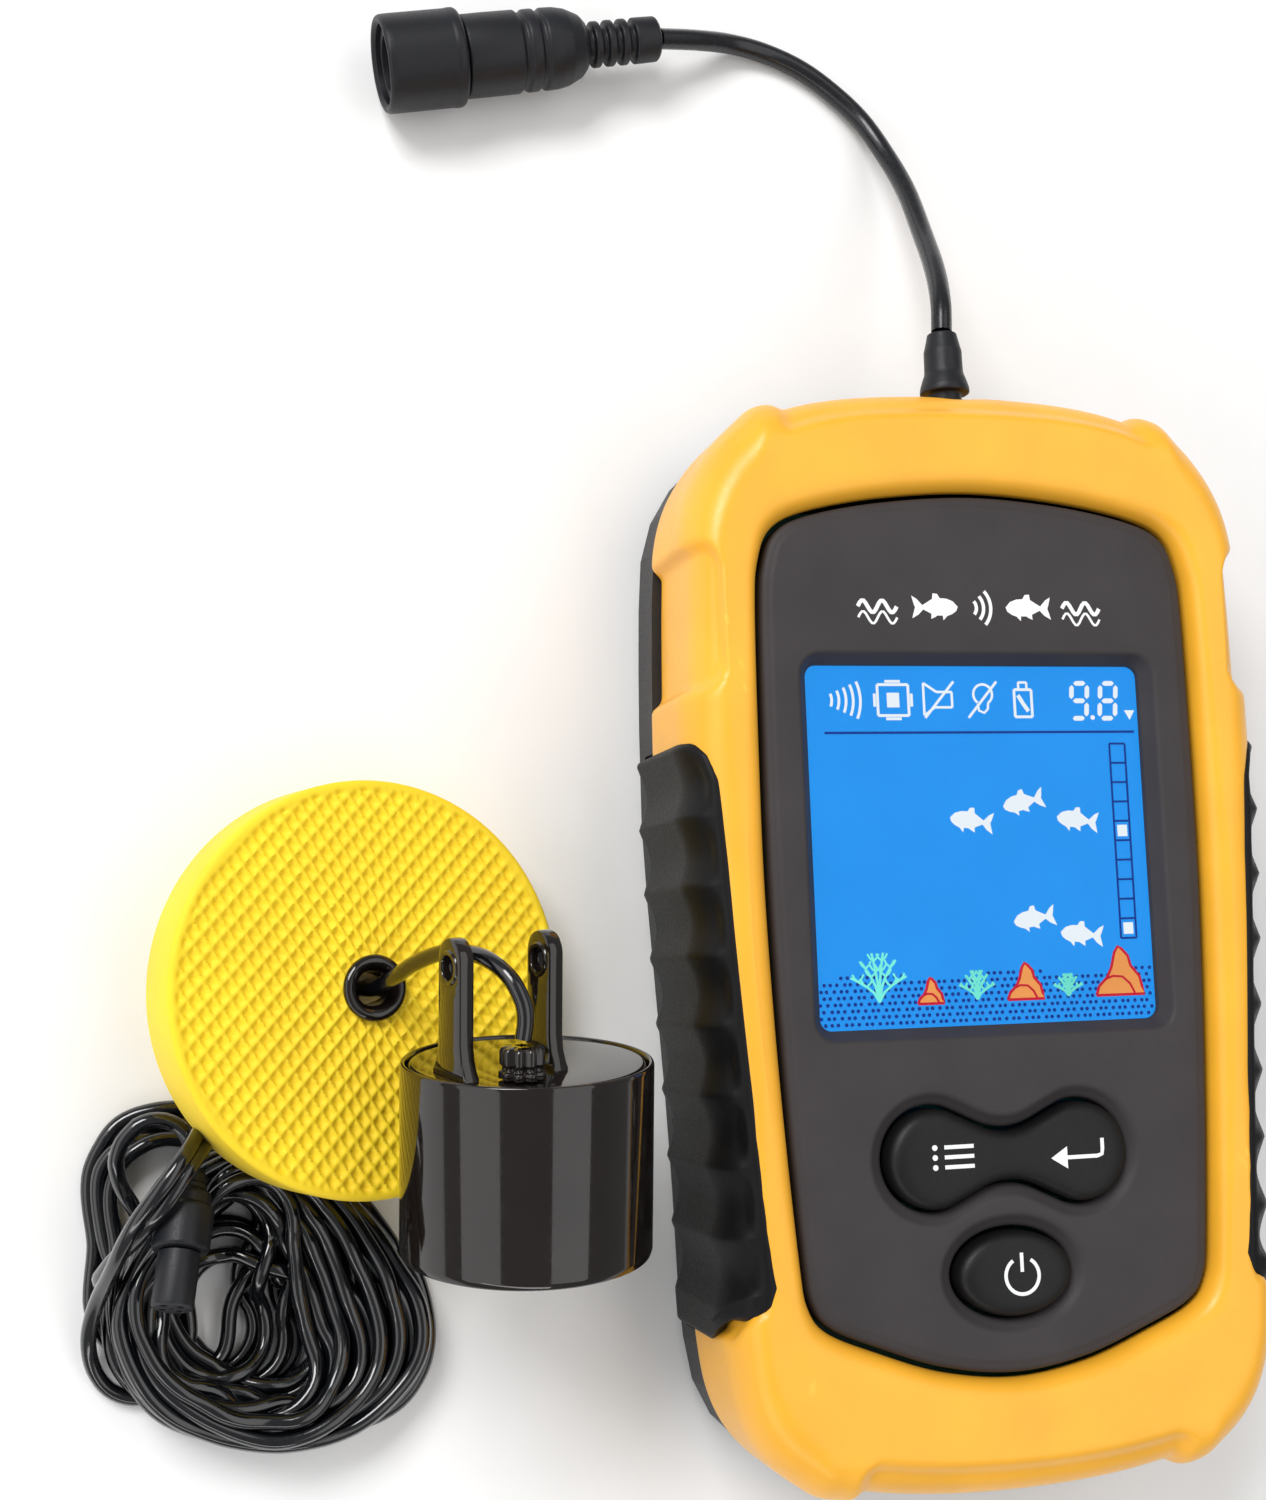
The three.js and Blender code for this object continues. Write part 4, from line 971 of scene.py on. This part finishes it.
def digit(keys, x, y, width=2.1, height=4.4, pen=0.6, lean=0.08, gap=0.22):
    """The named segments of a digit, each a bar with pointed ends."""
    outlines = []
    for key in keys:
        x0, y0, x1, y1 = SEGMENTS[key]
        a = np.array([x0 * width, y0 * height / 2])
        b = np.array([x1 * width, y1 * height / 2])
        way = (b - a) / np.linalg.norm(b - a)
        side = np.array([-way[1], way[0]]) * pen / 2
        a, b = a + way * gap, b - way * gap
        tip = way * pen / 2
        segment = [a, a + tip + side, b - tip + side, b, b - tip - side, a + tip - side]
        outlines.append([(x + p[0] + lean * p[1], y + p[1]) for p in segment])
    return outlines


def frame_stroke(x0, y0, x1, y1, pen):
    return polyline([(x0, y0), (x1, y0), (x1, y1), (x0, y1), (x0, y0)], pen)


DISPLAY_Z, DISPLAY_T = 25.3, 0.3
PANE_FOOT, PANE_TOP = 25.55, 25.88
INK = 0.04
display = rounded_box(45.4, 45.2, 1.6, 0, WINDOW_Y)
piece("display_face", *prisms([display], DISPLAY_Z - DISPLAY_T, DISPLAY_Z), M["display"], sharp=20,
      slot="lcd")
pane = rounded_box(43.9, 43.7, 1.45, 0, WINDOW_Y)
piece("window_pane", *prisms([pane], PANE_FOOT, PANE_TOP), M["glass"], sharp=20, slot="lens",
      stands_for=["window_lens"])

ICON_Y, PEN, FINE_PEN = 27.2, 0.34, 0.3
# The row of symbols at the top, drawn about its middle line.
icons = [stroke(arc(-20.4, 0, 1.9 + 0.92 * k, -24, 24, 10), PEN) for k in range(5)]
icons += frame_stroke(-12.6, -1.9, -8.6, 1.9, PEN)
for x in (-13.0, -8.2):
    icons.append(bar((x, -0.8), (x, 0.8), PEN))
for y in (-2.3, 2.3):
    icons.append(bar((-11.6, y), (-9.6, y), PEN))
icons.append([(-11.4, -0.9), (-9.8, -0.9), (-9.8, 0.9), (-11.4, 0.9)])
for x in (-4.6, 1.1):
    icons.append(stroke([(x - 1.9, -2.2), (x, 0), (x + 2.0, 2.3)], 0.32))
icons += polyline([(-6.6, 2.1), (-6.6, -1.9), (-5.2, -0.9), (-2.9, -0.9), (-2.9, 1.0), (-4.9, 1.0),
                   (-6.6, 2.1)], FINE_PEN)
icons.append(stroke(arc(1.2, 0.7, 1.25, -60, 235, 20), FINE_PEN))
icons.append(stroke([(0.5, -0.5), (0.6, -1.3), (1.3, -1.6), (1.8, -1.1), (1.85, -0.4)], FINE_PEN))
icons += frame_stroke(5.4, -2.1, 7.7, 1.3, PEN)
icons += frame_stroke(6.0, 1.3, 7.1, 2.2, FINE_PEN)
icons.append(stroke([(5.9, 0.6), (6.5, -0.4), (7.2, -1.4)], 0.5))
white = [[(x, y + ICON_Y) for x, y in icon] for icon in icons]
white += digit(NINE, 12.9, 24.9) + digit(EIGHT, 16.8, 24.9)
white.append(arc(15.85, 25.0, 0.3, 0, 330, 10))
white.append([(20.2, 25.9), (21.6, 25.9), (20.9, 24.7)])
SHOAL = ((-1.2, 12.3, 1.0, -8), (5.8, 14.5, 0.98, 12), (12.9, 12.2, 0.98, -8),
         (6.4, 0.2, 0.98, 8), (12.6, -1.9, 1.0, -6))
white += [fish(x, y, size, turn) for x, y, size, turn in SHOAL]

# The depth scale at the right: ten boxes, two of them marked.
BAR_X, BAR_TOP, BAR_WIDTH, BOX = 17.9, 21.7, 2.1, 2.42
navy = [bar((-19.6, 23.2), (21.4, 23.2), 0.3)]
for k in range(10):
    y = BAR_TOP - BOX * (k + 1)
    navy += frame_stroke(BAR_X, y, BAR_X + BAR_WIDTH, y + BOX, 0.26)
    if k in (4, 9):
        white.append([(BAR_X + 0.4, y + 0.5), (BAR_X + 1.7, y + 0.5),
                      (BAR_X + 1.7, y + BOX - 0.5), (BAR_X + 0.4, y + BOX - 0.5)])
SEABED_TOP, SEABED_FOOT, SEABED_HALF, DOT = -6.2, -12.0, 21.7, 0.86
for row in range(9):
    y = SEABED_TOP - row * DOT * 0.92
    for k in range(60):
        x = -21.6 + (k + 0.5 * (row % 2)) * DOT + 0.1 * math.sin(k * 2.3 + row)
        crest = SEABED_TOP + 0.45 * math.sin(x * 0.35 + 0.6)
        if x < SEABED_HALF and SEABED_FOOT < y < crest:
            navy.append(arc(x, y, 0.25, 0, 300, 6))

green = []
for x, y, width, height in ((-14.2, -9.2, 7.1, 6.0), (-1.6, -9.3, 4.6, 3.6), (10.4, -9.3, 3.9, 2.8)):
    green += plant(x, y, width, height)
ROCK = [(-3.3, 0), (-2.9, 1.1), (-1.7, 2.2), (-1.1, 3.4), (-0.6, 5.2), (-0.1, 5.9), (0.4, 5.6),
        (1.2, 4.7), (1.5, 3.5), (2.6, 2.2), (2.9, 0.9), (3.2, 0)]
VEIN = [(-2.1, 1.9), (-1.0, 2.3), (0.3, 2.2), (1.3, 1.3), (1.9, 0.1)]
rocks = []
veins = []
for x, y, size in ((-7.6, -9.6, 0.52), (4.8, -9.5, 0.74), (17.4, -9.4, 1.0)):
    outline, vein = ([(x + size * a, y + size * b) for a, b in shape] for shape in (ROCK, VEIN))
    rocks.append(outline)
    veins += [stroke([*outline, outline[0]], 0.34), stroke(vein, 0.28)]
for name, shapes, key, level in (
        ("display_navy_marks", navy, "lit_navy", 0), ("display_white_marks", white, "lit_white", 1),
        ("display_plants", green, "lit_green", 1), ("display_rocks", rocks, "lit_orange", 1),
        ("display_rock_lines", veins, "lit_red", 2)):
    z = DISPLAY_Z + 0.005 + level * INK
    piece(name, *prisms(shapes, z, z + INK), M[key], sharp=20)

# A row of plain pictograms above the window: waves, a fish, sound, a fish, waves.
TITLE_Y = 38.2
title = []
for x in (-15.6, 11.2):
    wave = [(x + 0.25 * k, TITLE_Y + 0.05 + 0.75 * math.sin(k * TAU / 10)) for k in range(21)]
    title.append(stroke(wave, 0.5))
    title.append(stroke([(a, b - 1.35) for a, b in wave], 0.3))
title += [fish(-5.6, TITLE_Y, 1.05, flip=-1), fish(6.6, TITLE_Y, 1.05)]
for k in range(3):
    title.append(stroke(arc(-1.4, TITLE_Y, 1.2 + 0.95 * k, -42, 42, 12), 0.42))
piece("title_print", *prisms(title, PANEL_Z - SUNK, PANEL_Z + PRINT), M["print"], sharp=20)

# ---------------------------------------------------------------- boot and connector

boot = [(0, -2.4), (2.1, -2.4), (2.1, -0.4), (3.15, -0.35), (3.1, 0.4), (2.75, 1.5), (2.45, 2.3),
        (2.42, 3.6), (2.4, 5.2), (2.28, 5.6), (1.95, 7.0), (1.85, 7.5), (1.45, 7.5)]
turned("boot_skin", boot, M["connector"], 56, 0.25, at=BOOT_PLACE, slot="cord_rubber",
       stands_for=["cable_boot"])

socket = [(3.55, 1.0), (4.7, 1.0), (4.7, 10.7), (5.05, 10.72), (5.25, 10.95), (5.28, 14),
          (5.25, 18.0), (4.85, 18.3), (4.85, 18.9), (5.2, 19.2), (5.2, 20.5), (4.85, 20.75),
          (4.85, 21.3), (5.2, 21.6), (5.15, 23.3), (4.85, 24.8), (4.0, 26.6), (3.1, 27.4)]
TAIL_RIBS, TAIL_RIBS_Z, TAIL_RIB_PITCH = 4, 27.6, 1.9
for i in range(TAIL_RIBS):
    start = TAIL_RIBS_Z + TAIL_RIB_PITCH * i
    socket += [(2.15, start + 0.05), (2.15, start + 0.75), (2.95, start + 0.8), (2.95, start + 1.7)]
socket += [(2.9, SOCKET_LENGTH - 0.4), (2.4, SOCKET_LENGTH), (1.3, SOCKET_LENGTH), (1.3, 16),
           (3.55, 15.4), (3.55, 1.0)]
socket_skin = turned("socket_skin", socket, M["connector"], 72, 0.2, at=SOCKET_PLACE,
                     slot="connector", stands_for=["socket_body"])
collar = [(5.0, 0.5), (5.35, 0.05), (5.8, 0.0), (6.1, 0.35), (6.15, 1.0), (6.15, 9.0), (6.22, 9.3),
          (6.22, 10.0), (5.95, 10.4), (5.0, 10.4), (5.0, 0.5)]
collar_skin = turned("collar_skin", collar, M["connector"], 96, 0.2, at=SOCKET_PLACE,
                     body="socket_collar", slot="connector", stands_for=["socket_collar"])

# ---------------------------------------------------------------- float

ROWS_OUT, SECTORS = 76, 520
BORE_R = 2.9
DIAMOND = (1.4, 1.85)
RIM = [(-0.35, -0.06), (-0.1, -0.3), (0, -0.7), (0, -4.6), (0, -8.4), (-0.15, -8.9), (-0.6, -9.2)]


def float_skin():
    """A foam disc whose face is pressed into a pattern of small leaning diamonds."""
    angle = np.arange(SECTORS) / SECTORS * TAU

    def ring(radius, z):
        return [(radius * math.cos(a), radius * math.sin(a), z) for a in angle]

    points = ring(BORE_R, 0.0) + ring(BORE_R, 8.6)
    for r in [BORE_R, *np.linspace(3.4, FLOAT_R - 0.75, ROWS_OUT)]:
        x, y = r * np.cos(angle), r * np.sin(angle)
        u = (x * 0.83 + y * 0.56) / DIAMOND[0]
        v = (x * 0.72 - y * 0.69) / DIAMOND[1]
        ridge = np.minimum(np.abs((u % 1) - 0.5), np.abs((v % 1) - 0.5)) * 2
        plain_rim = smoothstep(r, FLOAT_R - 0.8, FLOAT_R - 1.4)
        press = 0.5 * smoothstep(ridge, 0.0, 0.75) * plain_rim * smoothstep(r, 3.2, 4.4)
        points += list(zip(x, y, FLOAT_T - press))
    for r, z in RIM:
        points += ring(FLOAT_R + r, FLOAT_T + z)
    return points, grid_faces(len(points) // SECTORS, SECTORS, True, True)


ON_FLOAT = {"body": "float", "at": FLOAT_PLACE}
piece("float_skin", *float_skin(), M["foam"], sharp=50, slot="foam", stands_for=["float_disc"],
      **ON_FLOAT)
top = FLOAT_T + 0.02
front_eyelet = [
    (2.1, 0.3), (2.6, 0.3), (2.6, top), (3.75, top), (3.95, top + 0.25), (3.85, top + 0.75),
    (3.4, top + 1.05), (2.9, top + 1.0), (2.45, top + 0.65), (2.1, top - 0.2), (2.1, 0.3),
]
back_eyelet = [(2.1, -0.3), (3.6, -0.3), (3.6, -0.8), (3.2, -1.1), (2.1, -1.1), (2.1, -0.3)]
turned("grommet_skin", front_eyelet, M["gloss"], 64, 0.2, slot="gloss_black",
       stands_for=["grommet_front"], **ON_FLOAT)
turned("grommet_back_skin", back_eyelet, M["gloss"], 48, 0.2, slot="gloss_black",
       stands_for=["grommet_back"], **ON_FLOAT)

# ---------------------------------------------------------------- transducer

CAP_Z = 21.8
EAR_HALF, EAR_MID, EAR_TURN = 5.6, (-2.9, -4.8), 31
ON_SONAR = {"body": "sonar_set", "at": SONAR_PLACE, "slot": "gloss_black"}
cup = [(0, 0), (9, 0), (13.4, 0.02), (14.05, 0.25), (14.25, 0.9), (14.25, 21.6), (14.15, 21.9),
       (13.95, 22.0), (13.7, 21.9), (13.55, 21.5), (13.55, 18.5), (12.85, 18.4), (12.85, 1.6), (0, 1.6)]
turned("cup_skin", cup, M["gloss"], 120, 0.2, stands_for=["transducer_cup"], **ON_SONAR)
cap = [(0, 18.8), (13.35, 18.8), (13.35, 21.55), (13.1, CAP_Z), (6, CAP_Z), (0, CAP_Z)]
turned("cap_skin", cap, M["gloss"], 96, 0.2, stands_for=["transducer_cap"], **ON_SONAR)


def ear_skin(side):
    """One ear of the clevis: a flared foot, a round top and a boss round its hole."""
    half, top_y, hole_y = 2.5, 12.7, 12.0
    outline = [(-3.6, 0), (3.6, 0), (3.3, 1.0), (2.75, 2.2), (half, 3.8)]
    outline += [(half, y) for y in (6, 8, 10, 11.5)]
    outline += arc(0, top_y, half, 0, 180, 22)
    outline += [(-half, y) for y in (11.5, 10, 8, 6)] + [(-half, 3.8), (-2.75, 2.2), (-3.3, 1.0)]
    outline = np.array(outline)
    hole = ellipse(1.3, 1.3, 0, hole_y, 28)
    rim = [(0, 0), (0, 0.6), (0.08, 0.8), (0.28, 0.9)]
    boss = [(0, 0), (0, 0.95), (0.1, 1.1), (0.45, 1.12), (0.6, 1.0), (0.65, 0.9)]
    points, faces = faced(outline, rim, [(hole, boss)])
    count = len(points)
    points += [(x, y, -z) for x, y, z in points]
    faces += [tuple(reversed([i + count for i in f])) for f in faces]
    lay = place((*EAR_MID, CAP_Z - 0.1), (EAR_TURN, "Z")) @ Matrix.Translation((side * EAR_HALF, 0, 0))
    lay = lay @ Matrix.Rotation(rad(90), 4, "Z") @ Matrix.Rotation(rad(90), 4, "X")
    return [lay @ Vector(p) for p in points], faces


for side, name in ((1, "a"), (-1, "b")):
    piece(f"ear_{name}", *ear_skin(side), M["gloss"], sharp=40, **ON_SONAR)
RELIEF_PLACE = SONAR_PLACE @ Matrix.Translation((-0.5, -9.4, CAP_Z))
relief = [(0, 0.2), (2.6, 0.2), (2.6, 1.0), (2.2, 1.15), (2.2, 1.6), (2.5, 1.75), (2.5, 3.2),
          (2.3, 3.6), (1.5, 3.75), (0.9, 3.75)]
turned("relief_skin", relief, M["gloss"], 72, 0.15, flutes=9, depth=0.5, at=RELIEF_PLACE,
       body="sonar_set", slot="cord_rubber", stands_for=["lead_relief"])

# ---------------------------------------------------------------- plug on the lead

plug = [(0, 6.4), (2.2, 6.4), (3.1, 6.5), (3.3, 6.8), (3.3, 11.2), (3.15, 11.5), (2.75, 11.7),
        (2.75, 12.8), (2.6, 13.2), (2.1, 13.5), (2.1, 14.1), (1.9, 14.3), (1.9, 15.3), (1.4, 16.0)]
plug_skin = turned("plug_skin", plug, M["connector"], 56, 0.2, at=PLUG_PLACE, body="sonar_set",
                   slot="connector", stands_for=["plug_body"])
CONTACT_RING, CONTACT_R, KEYWAY_R = 1.3, 0.44, 0.3
holes = [(ellipse(CONTACT_R, CONTACT_R, x, y, 16), [(0, -2.6), (0, -0.1), (0.08, 0)])
         for x, y in arc(0, 0, CONTACT_RING, 45, 315, 4)]
holes.append((ellipse(KEYWAY_R, KEYWAY_R, count=16), [(0, -1.6), (0, -0.1), (0.06, 0)]))
nose_rim = [(0, -PLUG_NOSE_LENGTH), (0, -0.35), (0.1, -0.12), (0.3, -0.02), (0.4, 0)]
nose_points, nose_faces = faced(ellipse(PLUG_NOSE_R, PLUG_NOSE_R, count=48), nose_rim, holes)
nose_points = [(x, y, -z) for x, y, z in nose_points]
plug_nose = piece("plug_nose", nose_points, nose_faces, M["connector"], body="sonar_set",
                  at=PLUG_PLACE, sharp=35, slot="connector", stands_for=["plug_insert"])

# ---------------------------------------------------------------- table and lights

FLOOR_HALF = 3.0
WORLD_STRENGTH = 0.3
corners = [(x * FLOOR_HALF, y * FLOOR_HALF, 0) for x, y in ((-1, -1), (1, -1), (1, 1), (-1, 1))]
floor_mesh = bpy.data.meshes.new("floor")
floor_mesh.from_pydata(corners, [], [(0, 1, 2, 3)])
floor_mesh.materials.append(finish("floor_paper", (0.9, 0.9, 0.9), 0.75, 0.01, 0.6, 0.05, specular=0.2))
add("floor", floor_mesh)

world = bpy.data.worlds.new("studio")
world.use_nodes = True
sky = world.node_tree.nodes["Background"].inputs
sky["Color"].default_value = (1, 1, 1, 1)
sky["Strength"].default_value = WORLD_STRENGTH
bpy.context.scene.world = world


def softbox(name, at, size, power, aim=(-0.02, 0.02, 0.0)):
    """A lit rectangle that faces its aim; places and sizes are in metres."""
    light = bpy.data.lights.new(name, "AREA")
    light.shape = "RECTANGLE"
    light.size, light.size_y = size
    light.energy = power
    obj = add(name, light)
    obj.location = at
    obj.rotation_euler = (Vector(aim) - Vector(at)).to_track_quat("-Z", "Y").to_euler()


softbox("key_light", (-0.45, 0.55, 0.75), (0.5, 0.35), 6.5)
softbox("left_box", (-0.8, -0.03, 0.54), (1.5, 0.62), 3.4, aim=(-0.06, -0.03, 0.02))
softbox("right_box", (0.4, -0.03, 0.8), (1.5, 0.6), 3.4, aim=(-0.06, -0.03, 0.02))
softbox("front_strip", (-0.25, -0.6, 0.35), (0.7, 0.08), 0.8)
